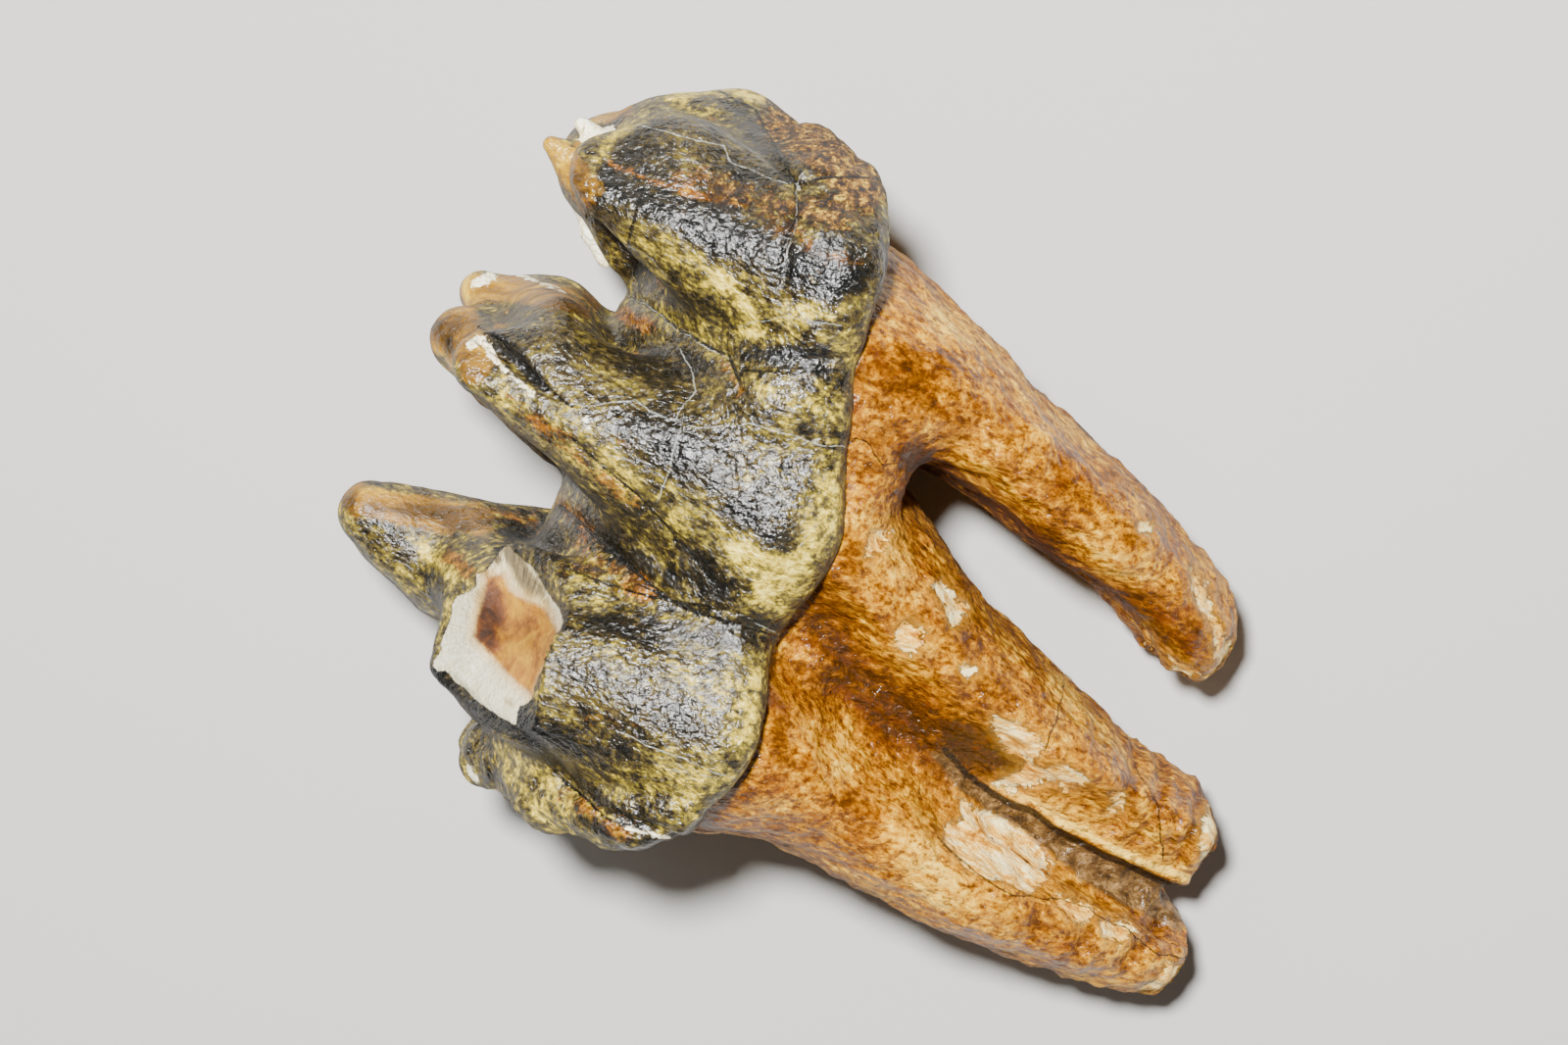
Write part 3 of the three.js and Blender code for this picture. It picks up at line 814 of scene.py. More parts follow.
def enamel_marks(points, normals, depth):
    """The values at each point of the crown that its material is painted from."""
    seen = seen_at(points)
    shown = ramp(facing(normals), -0.15, 0.2) * in_view(points)
    x, _, z = points.T
    wander = noise(points, (14, 14, 20), 41)
    blotches = noise(points, 12, 57)
    front_foot = (1 - ramp(x, -50, -40)) * (1 - ramp(z, 18, 30))
    marks = shared_marks(points, normals, crack=(CRACKS, 6), fold=(DARK_LINES, 4))
    for name, strokes, unseen in (
        ("pale", PALE_STROKES, ramp(wander, 0.05, 0.5)),
        ("black", BLACK_STROKES, 0.8 * ramp(-wander, 0.0, 0.45)),
        ("rust", RUST_STROKES, ramp(blotches, 0.1, 0.5)),
        ("amber", AMBER_STROKES, 1.1 * ramp(z, 40, 56) + 0.7 * ramp(blotches, 0.25, 0.6)),
        ("crust", CRUST_STROKES, 0.9 * front_foot + ramp(blotches, 0.35, 0.7)),
    ):
        marks[name] = shown * painted(seen, strokes) + (1 - shown) * unseen
    chips = np.min([cone(tuple(points.T), *chip) for chip in CHIPS], axis=0)
    marks["white"] = shown * painted(seen, WHITE_STROKES) + 1.2 * ramp(-chips, -1.5, -0.6)
    marks["calm"] = np.clip(shown * painted(seen, CALM_STROKES), 0, 1)
    # Grey fibres, and painted shade on the dentine of the broken cusp.
    marks["shade"] = np.clip(painted(seen, GREY_FIBRES_AND_SHADE_STROKES), 0, 1)
    marks["dull"] += painted(seen, DULL_STROKES)
    marks["broken"] = np.minimum(within(seen, BREAK_EDGE), 15 * (depth - 0.4))
    marks["core"] = within(seen, DENTINE_EDGE)
    marks["spoke"] = np.arctan2(BREAK_MIDDLE[1] - seen[:, 1], BREAK_MIDDLE[0] - seen[:, 0])
    return marks


def enamel_relief(points, normals):
    """Height in millimetres that each point of the crown is moved out or in."""
    seen = seen_at(points)
    shown = ramp(facing(normals), -0.1, 0.25)
    height = 0.28 * noise(points, (5, 5, 26), 11, 3) + 0.3 * noise(points, 9, 12)
    height += 0.1 * noise(points, 1.8, 15, 2)
    height += shown * (painted(seen, BREAK_RELIEF) - painted(seen, GROOVES))
    lips = np.minimum(*(rope(tuple(points.T), row, 3) for row in (FRONT_LIP, REAR_HEEL)))
    beads = np.abs(noise(points, (6, 6, 5), 13, 3))
    height += ramp(-lips, -2.5, 0.5) * (1.6 * beads - 0.4)
    crust = np.clip(shown * painted(seen, CRUST_STROKES), 0, 1)
    return height + crust * 0.6 * noise(points, 2.6, 14, 3)


# Places on the roots, in pixels of the photograph: flaked patches, web and lines, then strokes
PEEL_OUTLINES = [
    [(980, 813), (998, 825), (1026, 829), (1050, 846), (1062, 861), (1072, 877), (1068, 901),
     (1050, 914), (1029, 902), (1007, 899), (983, 883), (961, 857), (966, 841), (984, 836)],
    [(1087, 912), (1111, 924), (1116, 934), (1099, 945), (1084, 930), (1074, 918)],
    [(1117, 937), (1148, 940), (1158, 953), (1142, 963), (1123, 954)],
    [(1013, 730), (1032, 738), (1062, 750), (1064, 766), (1052, 779), (1064, 785), (1087, 779),
     (1112, 799), (1088, 810), (1068, 798), (1044, 806), (1012, 801), (1038, 790), (1046, 776),
     (1026, 765), (1015, 746)],
    [(916, 638), (931, 628), (946, 645), (938, 658), (930, 673), (917, 660)],
    [(977, 681), (995, 677), (1001, 687), (985, 691)],
    [(1130, 805), (1149, 809), (1146, 828), (1128, 832), (1136, 818)],
    [(952, 597), (966, 589), (974, 606), (989, 618), (984, 634), (969, 640), (966, 619), (957, 608)],
    [(886, 544), (911, 538), (899, 562), (880, 570)],
    [(1216, 575), (1236, 606), (1246, 640), (1262, 668), (1250, 690), (1226, 694), (1241, 672),
     (1237, 640), (1222, 612)],
    [(1159, 641), (1168, 638), (1181, 662), (1172, 670)],
    [(1190, 668), (1206, 675), (1228, 690), (1205, 696)],
    [(1236, 812), (1250, 830), (1240, 880), (1220, 905), (1226, 860)],
    [(1166, 534), (1177, 534), (1174, 548), (1165, 545)],
    [(1196, 978), (1216, 990), (1180, 1022), (1160, 1012), (1184, 1000)],
]
SMOOTH_BROWN = [
    (958, 735), (1010, 742), (1026, 765), (1044, 778), (1030, 794), (1008, 800), (985, 788), (966, 764),
]
WEB_TOP = [
    (965, 762), (989, 788), (1015, 807), (1036, 819), (1054, 824), (1079, 844), (1103, 856), (1130, 871),
    (1146, 876), (1166, 887), (1199, 901), (1216, 906),
]
WEB_FLOOR = [
    (1206, 950), (1175, 938), (1162, 928), (1144, 923), (1119, 909), (1103, 897), (1073, 871),
    (1060, 862), (1042, 846), (1022, 836), (979, 807), (950, 770),
]
WEB_LIP = [
    (1012, 799), (1036, 813), (1056, 820), (1082, 838), (1106, 852), (1133, 866), (1168, 882),
    (1212, 898),
]
ROOT_CRACKS = [
    [(856, 463), (871, 449), (887, 453), (896, 463), (902, 472), (921, 472)],
    [(960, 858), (975, 874), (994, 889), (1034, 914), (1080, 917), (1111, 927)],
    [(1118, 934), (1144, 946), (1160, 958), (1178, 970), (1212, 976)],
    [(1084, 700), (1080, 730), (1068, 760)],
    [(1160, 786), (1182, 822), (1186, 870)],
]
ROOT_PALE_STROKES = [
    (16, 0.5, (820, 750), (860, 790)),
    (12, 0.45, (960, 320), (1040, 385), (1110, 450)),
    (20, 0.7, (1110, 545), (1150, 590)),
    (20, 0.5, (940, 880), (985, 930), (1040, 960)),
    (14, 0.35, (1080, 690), (1130, 760)),
    (4.5, 1.6, *[(x, y - 2) for x, y in WEB_LIP]),
    (3, 0.8, (976, 475), (1021, 517)),
    (6, 0.4, (1160, 780), (1175, 850)),
    (10, 0.4, (1070, 930), (1190, 990)),
]
GLOSS_STROKES = [
    (30, 1.0, (804, 744), (850, 790), (909, 835)),
    (28, 1.0, (918, 367), (960, 410), (987, 449)),
    (24, 0.7, (870, 560), (930, 640), (990, 700)),
    (16, 0.7, (760, 770), (800, 700)),
    (20, 0.5, (1100, 740), (1180, 810)),
    (18, 0.8, (1040, 440), (1120, 520), (1180, 580)),
    (14, 0.7, (920, 880), (1000, 925), (1080, 960)),
]
# Darker strokes on the roots: brown stains, and painted shade along the front root's underside.
UMBER_AND_SHADE_STROKES = [
    (20, 1.3, (835, 640), (885, 690), (950, 750)),
    (16, 1.0, (850, 690), (900, 740), (960, 790)),
    (12, 0.9, (985, 762), (1040, 785)),
    (22, 0.8, (1150, 610), (1220, 655)),
    # Painted shade along the front root's underside, where it turns away from the light.
    (16, 1.9, (935, 466), (1000, 520), (1060, 560), (1110, 600)),
    (9, 0.4, (880, 300), (870, 380)),
    (22, 0.7, (920, 370), (985, 440)),
    (14, 0.5, (840, 600), (880, 560)),
    (10, 0.3, (1060, 720), (1200, 830)),
    (8, 0.5, (720, 840), (800, 790), (790, 700)),
]
# Creases on the end of the front lobe: cut into the surface, and also darkened with painted shade.
ROOT_CREASES = [
    (7, 1.0, (1187, 779), (1186, 807), (1175, 838), (1156, 860)),
    (6, 1.1, (1223, 811), (1225, 832), (1215, 858), (1203, 875)),
    (8, 0.8, (1158, 765), (1160, 795), (1146, 830), (1128, 850)),
    (5, 0.5, (1205, 800), (1204, 832), (1192, 862)),
    (7, 0.8, (1150, 985), (1172, 960), (1185, 944)),
    (8, 0.7, (1098, 975), (1110, 950)),
    (8, 0.6, (1045, 965), (1060, 940)),
]
PALE_RIDGE = [(9, 0.9, (828, 662), (862, 690), (905, 722), (940, 745), (965, 764))]
# Painted shadow: a dark line just under the lip, where the lip shades the groove below it.
WEB_LIP_SHADOW = [(4.5, 1.0, *[(x - 1, y + 3) for x, y in WEB_TOP])]


def root_marks(points, normals, peel):
    """The values at each point of the roots that their material is painted from."""
    seen = seen_at(points)
    shown = ramp(facing(normals), -0.15, 0.2) * in_view(points)
    wander = noise(points, (16, 16, 30), 71)
    brown = ramp(within(seen, SMOOTH_BROWN), -5, 3)
    # Darker paint from brown stains and the smooth brown patch, with painted shade in the creases and on the
    # front root's underside.
    umber_and_shade = painted(seen, UMBER_AND_SHADE_STROKES) + brown + 0.8 * painted(seen, ROOT_CREASES)
    pale = painted(seen, ROOT_PALE_STROKES)
    return shared_marks(points, normals, crack=(ROOT_CRACKS, 6)) | {
        "peel": peel,
        "umber_and_shade": shown * umber_and_shade + (1 - shown) * ramp(wander, 0.05, 0.5),
        "pale": shown * pale + (1 - shown) * ramp(-wander, 0.1, 0.5) * 0.6,
        "brown": shown * brown,
        "gloss": np.clip(painted(seen, GLOSS_STROKES), 0, 1),
        # A painted shadow line just under the lip.
        "gap": shown * painted(seen, WEB_LIP_SHADOW),
        "web": np.where(shown > 0.5, within(seen, WEB_TOP + WEB_FLOOR), 20 * hidden_web(points) - 10),
    }


def hidden_web(points):
    """1 down in the groove on the hidden side, and 0 elsewhere."""
    groove = rope(tuple(points.T), HIDDEN_GROOVE, 3)
    return ramp(-groove, -1.5, 1.0) * ramp(-points[:, 2], 20, 40)


def peel_field(points, normals):
    """Above nought where the outer skin of the root has flaked away, in pixels inside the edge."""
    seen = seen_at(points) + 5 * np.stack([noise(points, 6, seed, 3) for seed in (86, 96)], 1)
    chosen = np.max([within(seen, corners) for corners in PEEL_OUTLINES], axis=0)
    chosen -= 40 * (1 - in_view(points))
    wander = 60 * (noise(points, (16, 16, 22), 83, 5, 0.6) - 0.3)
    return np.where(facing(normals) > 0.05, chosen, np.minimum(wander, 20))


def root_relief(points, normals, peel):
    """Height in millimetres that each point of the roots is moved out or in."""
    seen = seen_at(points)
    shown = ramp(facing(normals), -0.1, 0.25)
    x, _, z = points.T
    height = 0.6 * noise(points, (7, 7, 28), 91) + 0.9 * noise(points, 12, 92)
    height += 0.7 * noise(points, (4.5, 4.5, 6), 93, 4, 0.6) + 0.22 * noise(points, 2.4, 97, 2)
    height += ramp(-z, 58, 72) * 0.6 * noise(points, 3.2, 95, 3)
    height -= 0.55 * ramp(peel, -2.5, 2.5)
    rings = 0.5 - np.abs(np.sin(0.62 * z + 0.05 * x + 1.5 * noise(points, 16, 94, 2)))
    height += (0.9 - 0.6 * shown) * ramp(-z, 48, 60) * rings
    lip, share, _ = line_distance(seen, WEB_LIP)
    height += shown * 0.7 * np.exp(-(lip / 5) ** 2) * ramp(share, 0.0, 0.15)
    return height + shown * (painted(seen, PALE_RIDGE) - painted(seen, ROOT_CREASES))


# Materials
ENAMEL_IOR = 1.64
ROOT_IOR = 1.5
FLOOR_IOR = 1.5
FLOOR_ROUGHNESS = 0.75
# Noises of each material: size in millimetres, detail, roughness, stretch, place and distortion
ENAMEL_CLOUDS = {
    "broad": (8.0, 4.0, 0.55, 0.7, 3.0, 0.3),
    "fine": (2.0, 8.0, 0.8, 0.7, 9.0, 0.3),
    "grit": (0.8, 2.0, 0.6, 0.7, 51.0, 0.0),
    "stain": (2.0, 6.0, 0.85, 0.8, 27.0, 0.3),
    "clear": (6.0, 6.0, 0.65, 0.3, 21.0, 0.6),
    "grain": (1.5, 6.0, 0.8, 1.0, 33.0, 0.0),
    "dentine": (5.0, 6.0, 0.65, 1.0, 66.0, 0.5),
    "crinkle": (0.9, 2.5, 0.5, 0.7, 72.0, 0.4),
}
ROOT_CLOUDS = {
    "broad": (12.0, 5.0, 0.6, 0.7, 5.0, 0.3),
    "strands": (1.6, 8.0, 0.82, 0.6, 14.0, 0.3),
    "grit": (0.9, 3.0, 0.6, 0.7, 38.0, 0.0),
    "blotches": (5.0, 5.0, 0.7, 0.7, 61.0, 0.0),
    "flakes": (3.0, 8.0, 0.8, 0.45, 23.0, 0.5),
    "crumple": (2.0, 4.0, 0.55, 0.7, 81.0, 0.3),
}
FLOOR_CLOUD = (0.4, 2.0, 0.5, 1.0, 0.0, 0.0)


def paint(red, green, blue):
    """A colour named by its screen values from 0 to 255."""
    shares = [value / 255 for value in (red, green, blue)]
    return tuple(s / 12.92 if s < 0.04 else ((s + 0.055) / 1.055) ** 2.4 for s in shares) + (1.0,)


class Wire:
    """A value in a material. Sums, differences and products of wires make their own nodes."""

    def __init__(self, finish, socket):
        self.finish = finish
        self.socket = socket

    def __add__(self, other):
        return self.finish.math("ADD", self, other)

    def __sub__(self, other):
        return self.finish.math("SUBTRACT", self, other)

    def __rsub__(self, other):
        return self.finish.math("SUBTRACT", other, self)

    def __mul__(self, other):
        return self.finish.math("MULTIPLY", self, other)

    __rmul__ = __mul__


class Finish:
    """A material under construction, with short names for the nodes that it uses."""

    def __init__(self, name):
        self.material = bpy.data.materials.new(name)
        self.material.use_nodes = True
        self.nodes = self.material.node_tree.nodes
        self.nodes.clear()
        self.surface = self.nodes.new("ShaderNodeBsdfPrincipled")
        output = self.nodes.new("ShaderNodeOutputMaterial")
        self.feed(output.inputs[0], Wire(self, self.surface.outputs[0]))

    def feed(self, socket, value):
        if isinstance(value, Wire):
            self.material.node_tree.links.new(value.socket, socket)
        else:
            socket.default_value = value

    def node(self, kind, inputs, output=0, **options):
        """Wire from a new node, whose inputs are given by their names or numbers."""
        node = self.nodes.new("ShaderNode" + kind)
        for key, value in options.items():
            setattr(node, key, value)
        for key, value in inputs.items():
            self.feed(node.inputs[key], value)
        return Wire(self, node.outputs[output])

    def attribute(self, name, output="Fac"):
        return self.node("Attribute", {}, output, attribute_name=name)

    def math(self, operation, first, second=0.0):
        return self.node("Math", {0: first, 1: second}, operation=operation)

    def vector(self, operation, first, second):
        return self.node("VectorMath", {0: first, 1: second}, operation=operation)

    def cloud(self, place, size, detail, roughness, stretch, shift, distortion):
        """Noise around 0.5 with features of about size millimetres, longer up the tooth."""
        moved = self.vector("MULTIPLY", place, (1 / size, 1 / size, stretch / size))
        moved = self.vector("ADD", moved, (shift, 1.7 * shift, 0.6 * shift))
        look = {"Scale": 1.0, "Detail": detail, "Roughness": roughness, "Distortion": distortion}
        return self.node("TexNoise", {"Vector": moved, **look})

    def step(self, value, low, high, start=0.0, end=1.0):
        """Smooth change from start to end while a value goes from low to high."""
        inputs = dict(enumerate((value, low, high, start, end)))
        return self.node("MapRange", inputs, interpolation_type="SMOOTHSTEP")

    def ramp(self, value, *stops):
        """Colours at places of a value from 0 to 1."""
        wire = self.node("ValToRGB", {0: value})
        elements = wire.socket.node.color_ramp.elements
        while len(elements) < len(stops):
            elements.new(0.5)
        for element, (position, colour) in zip(elements, stops):
            element.position = position
            element.color = colour
        return wire

    def mix(self, share, first, second):
        return self.node("Mix", {0: share, 6: first, 7: second}, 2, data_type="RGBA")

    def crack(self, kind, width, wander):
        """1 along the lines of one kind, and 0 elsewhere. The wander noise makes the lines uneven."""
        side = self.math("ABSOLUTE", self.attribute(kind + "_side") + 9.0 * (wander - 0.5))
        thin = self.step(side, 0.5 * width, 1.2 * width, 1.0, 0.0)
        close = self.step(self.attribute(kind + "_near"), 5.0, 8.0, 1.0, 0.0)
        return thin * close * self.attribute("shown")

    def finished(self, colour, rough, ior, *reliefs):
        """The whole material. Each relief is a height from 0 to 1 and its size in metres."""
        below = {}
        for height, size in reliefs:
            below = {"Normal": self.node("Bump", {"Height": height, "Distance": size, **below})}
        for name, value in {"Base Color": colour, "Roughness": rough, "IOR": ior, **below}.items():
            self.feed(self.surface.inputs[name], value)
        return self.material


def enamel_finish(settings):
    f = Finish("fossil_enamel")
    place = f.attribute("grown", "Vector")
    clouds = {name: f.cloud(place, *row) for name, row in ENAMEL_CLOUDS.items()}
    broad, fine, stain = clouds["broad"], clouds["fine"], clouds["stain"]
    calm = f.attribute("calm")
    ragged = 3.2 * (stain - 0.5)

    tone = 0.9 * (broad - 0.5) + (2.0 - 1.4 * calm) * (fine - 0.5) + 0.8 * (clouds["grit"] - 0.5)
    tone = tone + 0.49 + 0.24 * f.attribute("pale") - 0.34 * f.attribute("black")
    colour = f.ramp(
        tone,
        (0.1, settings.dark_enamel),
        (0.34, paint(30, 25, 14)),
        (0.5, paint(70, 58, 27)),
        (0.62, settings.olive_enamel),
        (0.78, settings.yellow_enamel),
        (1.0, paint(232, 208, 96)),
    )
    rust = f.step(f.attribute("rust") + ragged, 0.35, 0.75)
    colour = f.mix(0.9 * rust, colour, f.ramp(
        fine,
        (0.38, paint(24, 14, 1)),
        (0.48, paint(76, 44, 1)),
        (0.56, settings.rust_enamel),
        (0.66, paint(206, 160, 40)),
    ))
    amber = f.step(f.attribute("amber") + 0.6 * ragged, 0.35, 0.75)
    colour = f.mix(amber, colour, f.ramp(
        clouds["clear"],
        (0.3, paint(36, 24, 4)),
        (0.42, paint(88, 58, 6)),
        (0.54, settings.amber_enamel),
        (0.7, paint(214, 172, 40)),
    ))
    crust = f.step(f.attribute("crust") + ragged, 0.4, 0.75)
    colour = f.mix(crust, colour, f.ramp(
        clouds["grain"],
        (0.42, paint(16, 9, 1)),
        (0.5, paint(84, 50, 1)),
        (0.56, paint(166, 112, 6)),
        (0.63, paint(238, 202, 74)),
    ))
    fold = f.crack("fold", 1.3, fine)
    colour = f.mix(fold * f.step(stain, 0.36, 0.5), colour, paint(12, 9, 6))
    crack = f.crack("crack", 0.6, fine) * f.step(stain, 0.4, 0.52)
    colour = f.mix(0.8 * crack, colour, paint(158, 160, 150))

    edge, core = f.attribute("broken"), f.attribute("core")
    spokes = f.node("CombineXYZ", {0: 22.0 * f.attribute("spoke"), 1: 0.01 * edge})
    fibres = f.node("TexNoise", {"Vector": spokes, "Detail": 6.0, "Roughness": 0.7})
    # Darkens the white toward grey fibres, and paints shade on the dentine.
    shade = 0.24 * f.attribute("shade")
    white = f.ramp(
        fibres - shade,
        (0.16, paint(60, 48, 28)),
        (0.34, paint(158, 138, 92)),
        (0.45, settings.broken_enamel),
        (0.56, paint(255, 250, 226)),
    )
    white = f.mix(0.5 * f.step(core, -14.0, 0.0), white, paint(246, 190, 90))
    dentine = f.ramp(
        clouds["dentine"] - shade,
        (0.2, paint(56, 28, 1)),
        (0.34, paint(120, 62, 1)),
        (0.48, settings.dentine),
        (0.62, paint(224, 162, 4)),
    )
    uneven = 10.0 * (fine - 0.5)
    inside = f.step(core + uneven, -4.0, 3.5)
    broken = f.step(edge + uneven, -0.6, 0.6)
    chipped = f.step(f.attribute("white") + ragged, 0.5, 0.7)
    colour = f.mix(f.math("MAXIMUM", broken, chipped), colour, f.mix(inside, white, dentine))

    worn = f.step(broad, 0.5, 0.62, 0.0, 0.22) * (1.0 - calm)
    rough = 0.3 * stain + 0.05 + worn + 0.25 * crust + 0.3 * broken + 0.4 * f.attribute("dull")
    return f.finished(
        colour, rough, ENAMEL_IOR,
        (clouds["crinkle"], 0.0006),
        (fine, 0.0001),
        (crust * clouds["grain"], 0.0009),
        (broken * fibres, 0.0004),
        (1.0 - fold, 0.0005),
    )


def root_finish(settings):
    f = Finish("fossil_root")
    place = f.attribute("grown", "Vector")
    clouds = {name: f.cloud(place, *row) for name, row in ROOT_CLOUDS.items()}
    broad, strands, grit = clouds["broad"], clouds["strands"], clouds["grit"]
    gloss = f.attribute("gloss")

    swing = 1.35 - 0.8 * f.attribute("brown")
    tone = 0.8 * (broad - 0.5) + swing * (strands - 0.5) + 0.5 * (grit - 0.5)
    # The darkening holds brown stains, and painted shade in the creases and under the front root.
    tone = tone + 0.52 - 0.2 * f.attribute("umber_and_shade") + 0.2 * f.attribute("pale")
    colour = f.ramp(
        tone,
        (0.2, paint(52, 26, 1)),
        (0.38, settings.dark_root),
        (0.52, settings.orange_root),
        (0.66, paint(204, 144, 18)),
        (0.85, paint(244, 200, 80)),
    )
    colour = f.mix(f.step(grit, 0.38, 0.46, 0.6, 0.0), colour, paint(72, 34, 1))
    colour = f.mix(0.25 * f.step(clouds["blotches"], 0.52, 0.62), colour, paint(122, 54, 2))

    torn = f.attribute("peel") + 26.0 * (strands - 0.5) + 16.0 * (grit - 0.5)
    colour = f.mix(0.3 * f.step(torn, -14.0, 1.0), colour, paint(206, 146, 34))
    peeled = f.step(torn, -0.8, 1.2)
    colour = f.mix(0.92 * peeled, colour, f.ramp(
        clouds["flakes"],
        (0.36, paint(140, 76, 1)),
        (0.43, paint(206, 140, 36)),
        (0.49, settings.peeled_root),
        (0.58, paint(255, 238, 172)),
    ))
    web = f.step(f.attribute("web") + 24.0 * (strands - 0.5), -3.0, 3.0)
    colour = f.mix(web, colour, f.ramp(
        strands,
        (0.36, paint(36, 24, 10)),
        (0.5, paint(84, 58, 26)),
        (0.64, paint(150, 116, 70)),
    ))
    # Painted shadow of the lip: a near-black line just below it.
    gap = f.step(f.attribute("gap") + strands - 0.5, 0.45, 0.7)
    colour = f.mix(0.9 * gap, colour, paint(16, 8, 3))
    cracks = f.crack("crack", 0.6, strands)
    colour = f.mix(0.9 * cracks, colour, paint(26, 12, 4))

    rough = 0.5 * broad + 0.02 - 0.14 * gloss + 0.15 * peeled + 0.4 * f.attribute("dull")
    relief = 1.0 - 0.5 * gloss
    return f.finished(
        colour, rough, ROOT_IOR,
        (clouds["crumple"] * relief, 0.001),
        (grit * relief, 0.0003),
        (1.0 - peeled, 0.0004),
        (1.0 - cracks, 0.0006),
    )


def floor_finish(settings):
    f = Finish("pale_floor")
    light = tuple(settings.floor_colour)
    dark = tuple(0.97 * c for c in light[:3]) + (1.0,)
    tone = f.cloud(f.node("TexCoord", {}, "Object"), *FLOOR_CLOUD)
    return f.finished(f.ramp(tone, (0.3, dark), (0.7, light)), FLOOR_ROUGHNESS, FLOOR_IOR)


# Making the pieces
CROWN_REACH = [(-62, 60), (-46, 46), (0, 70)]
ROOT_REACH = [(-50, 60), (-40, 40), (-86, 18)]
REST_CELL = 2


def drawn(shape, reach, cell):
    """Points on the surface of a shape, and its four-sided faces."""
    axes = [np.linspace(low, high, round((high - low) / cell) + 1) for low, high in reach]
    points, faces = draw_surface(shape, axes)
    return pull_on(shape, points), faces


def laid(points):
    return points @ turn_matrix().T


@functools.cache
def rest_offset():
    """Shift, in millimetres, that sets the laid tooth on the floor over the middle of the frame."""
    crown_spots = drawn(crown, CROWN_REACH, REST_CELL)[0]
    root_spots = drawn(roots, ROOT_REACH, REST_CELL)[0]
    spots = laid(np.concatenate([crown_spots, root_spots]))
    low, high = spots.min(0), spots.max(0)
    return np.array([*(low + high)[:2] / 2, low[2] + REST_WEAR])


def in_frame(points):
    """From tooth millimetres to the metres of the frame."""
    return (laid(points) - rest_offset()) * MM


def add_object(name, data):
    thing = bpy.data.objects.new(name, data)
    bpy.context.scene.collection.objects.link(thing)
    return thing


def make_piece(name, points, faces, marks, material):
    mesh = bpy.data.meshes.new(name)
    spots = in_frame(points)
    spots[:, 2] = np.maximum(spots[:, 2], 0.0)
    mesh.from_pydata(spots.tolist(), [], faces.tolist())
    mesh.validate()
    for key, values in marks.items():
        layer = mesh.attributes.new(key, "FLOAT", "POINT")
        layer.data.foreach_set("value", np.asarray(values, np.float32))
    layer = mesh.attributes.new("grown", "FLOAT_VECTOR", "POINT")
    layer.data.foreach_set("vector", np.asarray(points, np.float32).ravel())
    mesh.shade_smooth()
    mesh.materials.append(material)
    piece = add_object(name, mesh)
    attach(piece, "root")
    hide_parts("molar")


def colour_setting(name, description, default):
    return FloatVectorProperty(
        name=name, description=description, subtype="COLOR", size=4, default=default, min=0, max=1)


class MolarCrownSettings(bpy.types.PropertyGroup):
    cell: FloatProperty(
        name="Detail", description="Size of the crown's surface cells, in millimetres",
        default=0.64, min=0.4, max=4)
    dark_enamel: colour_setting("Dark enamel", "Darkest stain in the enamel", paint(9, 9, 8))
    olive_enamel: colour_setting("Olive enamel", "Middle stain in the enamel", paint(102, 91, 34))
    yellow_enamel: colour_setting("Yellow enamel", "Least stained enamel", paint(180, 154, 42))
    rust_enamel: colour_setting("Rust stain", "Orange-brown stain in the enamel", paint(142, 82, 1))
    amber_enamel: colour_setting("Amber enamel", "Clear brown enamel near the cusp tips", paint(150, 106, 8))
    broken_enamel: colour_setting("Broken enamel", "Enamel on a broken edge", paint(250, 234, 180))
    dentine: colour_setting("Dentine", "Dentine inside a broken cusp", paint(192, 124, 1))


class MolarRootSettings(bpy.types.PropertyGroup):
    cell: FloatProperty(
        name="Detail", description="Size of the roots' surface cells, in millimetres",
        default=0.68, min=0.4, max=4)
    dark_root: colour_setting("Dark root", "Darker stain on the roots", paint(100, 54, 1))
    orange_root: colour_setting("Orange root", "Main colour of the roots", paint(150, 91, 1))
    peeled_root: colour_setting("Peeled root", "Pale layer under flaked skin", paint(244, 188, 78))


class MolarStageSettings(bpy.types.PropertyGroup):
    floor_colour: colour_setting("Floor colour", "Colour of the floor", (0.47, 0.458, 0.435, 1.0))
    floor_width: FloatProperty(
        name="Floor width", description="Width of the floor", default=4.0, unit="LENGTH")
    key_power: FloatProperty(
        name="Key light", description="Power of the light beside the camera", default=25.5, unit="POWER")
    fill_power: FloatProperty(
        name="Fill light", description="Power of each of the two broad lights", default=2.6, unit="POWER")


class MOLAR_OT_crown(bpy.types.Operator):
    """Build the enamel crown, with its cusps, lips and broken edges"""

    bl_idname = "molar.crown"
    bl_label = "Crown"

    def execute(self, context):
        settings = context.scene.molar_crown
        points, faces = drawn(crown, CROWN_REACH, settings.cell)
        normals = outward(crown, points)
        spots = tuple(points.T)
        depth = lumps(spots) - crown_unbroken(spots)
        points = points + normals * enamel_relief(points, normals)[:, None]
        marks = enamel_marks(points, normals, depth)
        make_piece("crown", points, faces, marks, enamel_finish(settings))
        return {"FINISHED"}


class MOLAR_OT_roots(bpy.types.Operator):
    """Build the forked roots, with their flaked skin, grooves and rings"""

    bl_idname = "molar.roots"
    bl_label = "Roots"

    def execute(self, context):
        settings = context.scene.molar_root
        points, faces = drawn(roots, ROOT_REACH, settings.cell)
        normals = outward(roots, points)
        peel = peel_field(points, normals)
        points = points + normals * root_relief(points, normals, peel)[:, None]
        marks = root_marks(points, normals, peel)
        make_piece("roots", points, faces, marks, root_finish(settings))
        return {"FINISHED"}


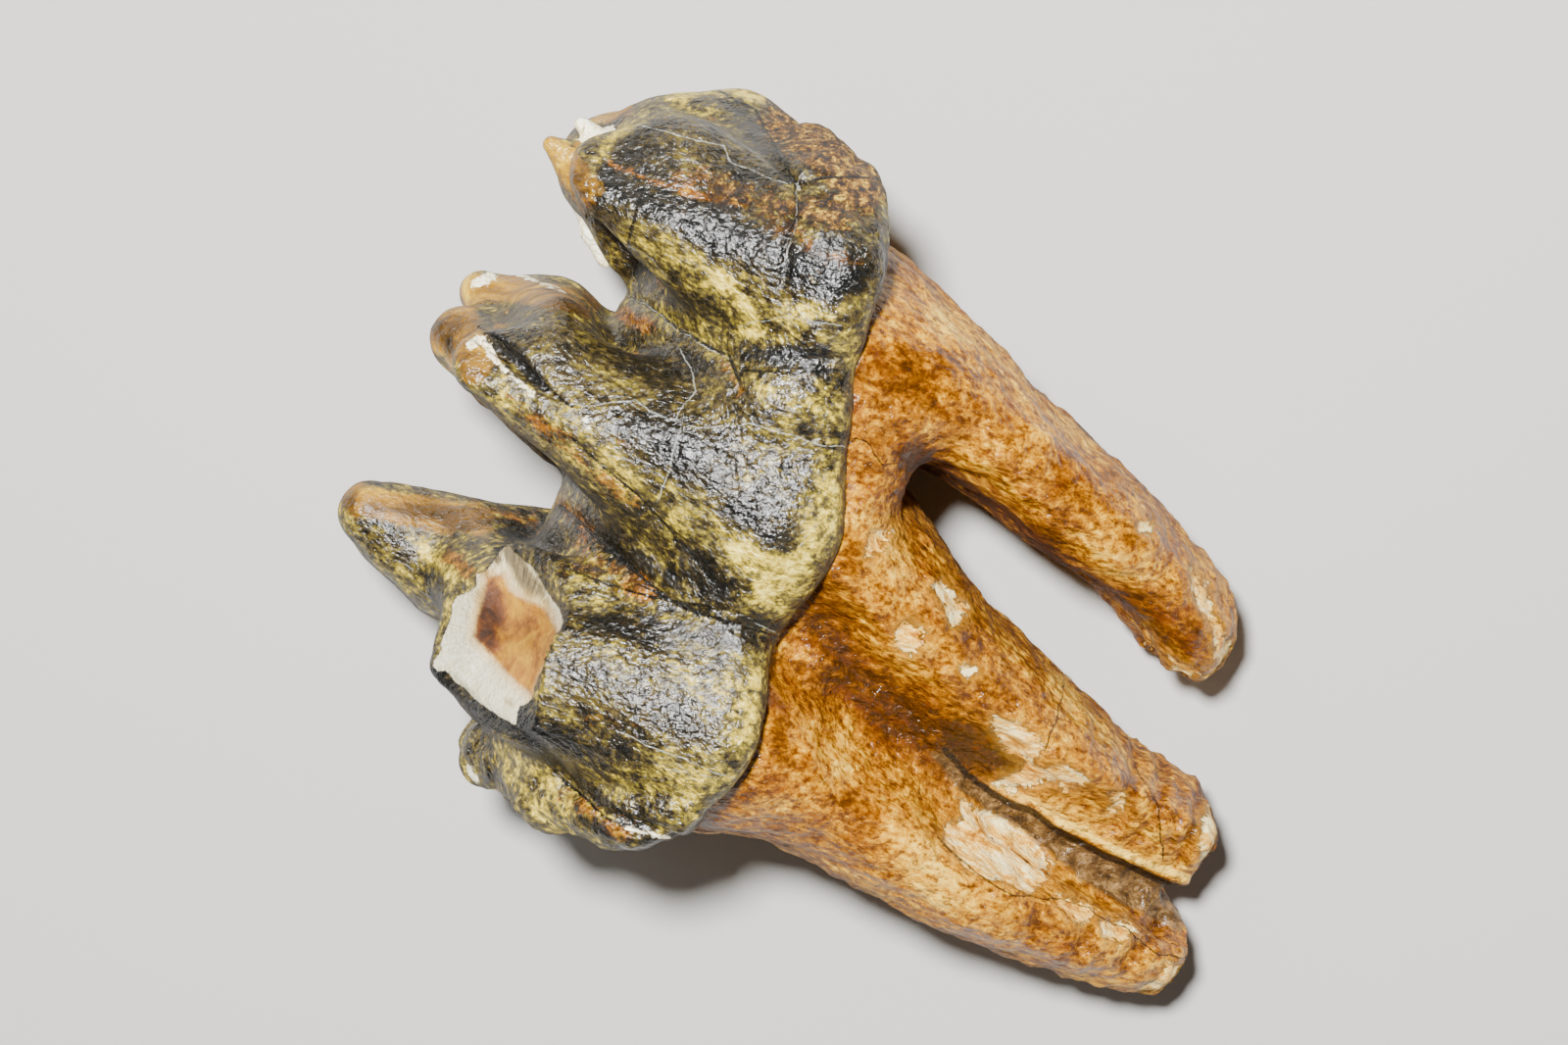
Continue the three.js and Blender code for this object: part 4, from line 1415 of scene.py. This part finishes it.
# Stage, in metres. A light's steps go toward the camera, to its right and up, or along X, Y and Z.
LIT_SPOT = np.array([0, 0, 0.03])
KEY_STEPS = (0.8, -0.1, 0.12)
KEY_WIDTH = 0.09
FILL_STEPS = (0.9, -0.7, 0.5)
SIDE_STEPS = (1.0, 0.9, 0.7)
BROAD_WIDTH = 0.9
ROOM_COLOUR = (1.0, 0.98, 0.94, 1.0)
ROOM_STRENGTH = 0.06


class MOLAR_OT_stage(bpy.types.Operator):
    """Build the pale floor, the soft lights and the camera"""

    bl_idname = "molar.stage"
    bl_label = "Stage"

    def execute(self, context):
        settings = context.scene.molar_stage
        half = settings.floor_width / 2
        mesh = bpy.data.meshes.new("floor")
        corners = [(-half, -half, 0), (half, -half, 0), (half, half, 0), (-half, half, 0)]
        mesh.from_pydata(corners, [], [(0, 1, 2, 3)])
        mesh.materials.append(floor_finish(settings))
        floor = add_object("floor", mesh)

        toward, right, up = (turn_matrix() @ axis for axis in camera_axes())
        add_camera(in_frame(eye()[None])[0], toward, right, up)
        as_seen = np.stack([toward, right, up])
        add_light("key_light", KEY_STEPS @ as_seen, KEY_WIDTH, settings.key_power)
        add_light("fill_light", FILL_STEPS @ as_seen, BROAD_WIDTH, settings.fill_power)
        add_light("side_light", np.array(SIDE_STEPS), BROAD_WIDTH, settings.fill_power)
        world = bpy.data.worlds.new("soft_room")
        world.use_nodes = True
        background = world.node_tree.nodes["Background"]
        background.inputs["Color"].default_value = ROOM_COLOUR
        background.inputs["Strength"].default_value = ROOM_STRENGTH
        context.scene.world = world
        return {"FINISHED"}


def standing(right, up, toward, place):
    """Matrix that puts an object at a place, with its own Z turned toward a direction."""
    return Matrix([*np.column_stack([right, up, toward, place]).tolist(), [0, 0, 0, 1]])


def add_camera(place, toward, right, up):
    camera = bpy.data.cameras.new("camera")
    camera.sensor_width = SENSOR
    camera.lens = SENSOR * SEEN_DISTANCE * PHOTO_SCALE / PHOTO_WIDTH
    camera.clip_start = 0.01
    holder = add_object("camera", camera)
    holder.matrix_world = standing(right, up, toward, place)
    bpy.context.scene.camera = holder


def add_light(name, steps, width, power):
    """A round light that many metres from the lit spot, turned to it."""
    light = bpy.data.lights.new(name, "AREA")
    light.shape = "DISK"
    light.size = width
    light.energy = power
    toward = steps / np.linalg.norm(steps)
    side = np.cross([0.1, 1, 0.05], toward)
    side /= np.linalg.norm(side)
    add_object(name, light).matrix_world = standing(side, np.cross(toward, side), toward, LIT_SPOT + steps)


class MOLAR_PT_panel(bpy.types.Panel):
    """Buttons for each piece of the fossil molar"""

    bl_idname = "MOLAR_PT_panel"
    bl_label = "Fossil Molar"
    bl_space_type = "VIEW_3D"
    bl_region_type = "UI"
    bl_category = "Fossil Molar"

    def draw(self, context):
        scene = context.scene
        for settings, operator in (
            (scene.molar_crown, MOLAR_OT_crown),
            (scene.molar_root, MOLAR_OT_roots),
            (scene.molar_stage, MOLAR_OT_stage),
        ):
            box = self.layout.box()
            for key in settings.__annotations__:
                box.prop(settings, key)
            box.operator(operator.bl_idname)


SETTINGS = {
    "molar_crown": MolarCrownSettings,
    "molar_root": MolarRootSettings,
    "molar_stage": MolarStageSettings,
}
CLASSES = (*SETTINGS.values(), MOLAR_OT_crown, MOLAR_OT_roots, MOLAR_OT_stage, MOLAR_PT_panel)


def register():
    for one in CLASSES:
        bpy.utils.register_class(one)
    for name, group in SETTINGS.items():
        setattr(bpy.types.Scene, name, PointerProperty(type=group))


def unregister():
    for name in SETTINGS:
        delattr(bpy.types.Scene, name)
    for one in reversed(CLASSES):
        bpy.utils.unregister_class(one)


def main():
    register()
    bpy.ops.molar.stage()
    bpy.ops.molar.crown()
    bpy.ops.molar.roots()


if __name__ == "__main__":
    main()
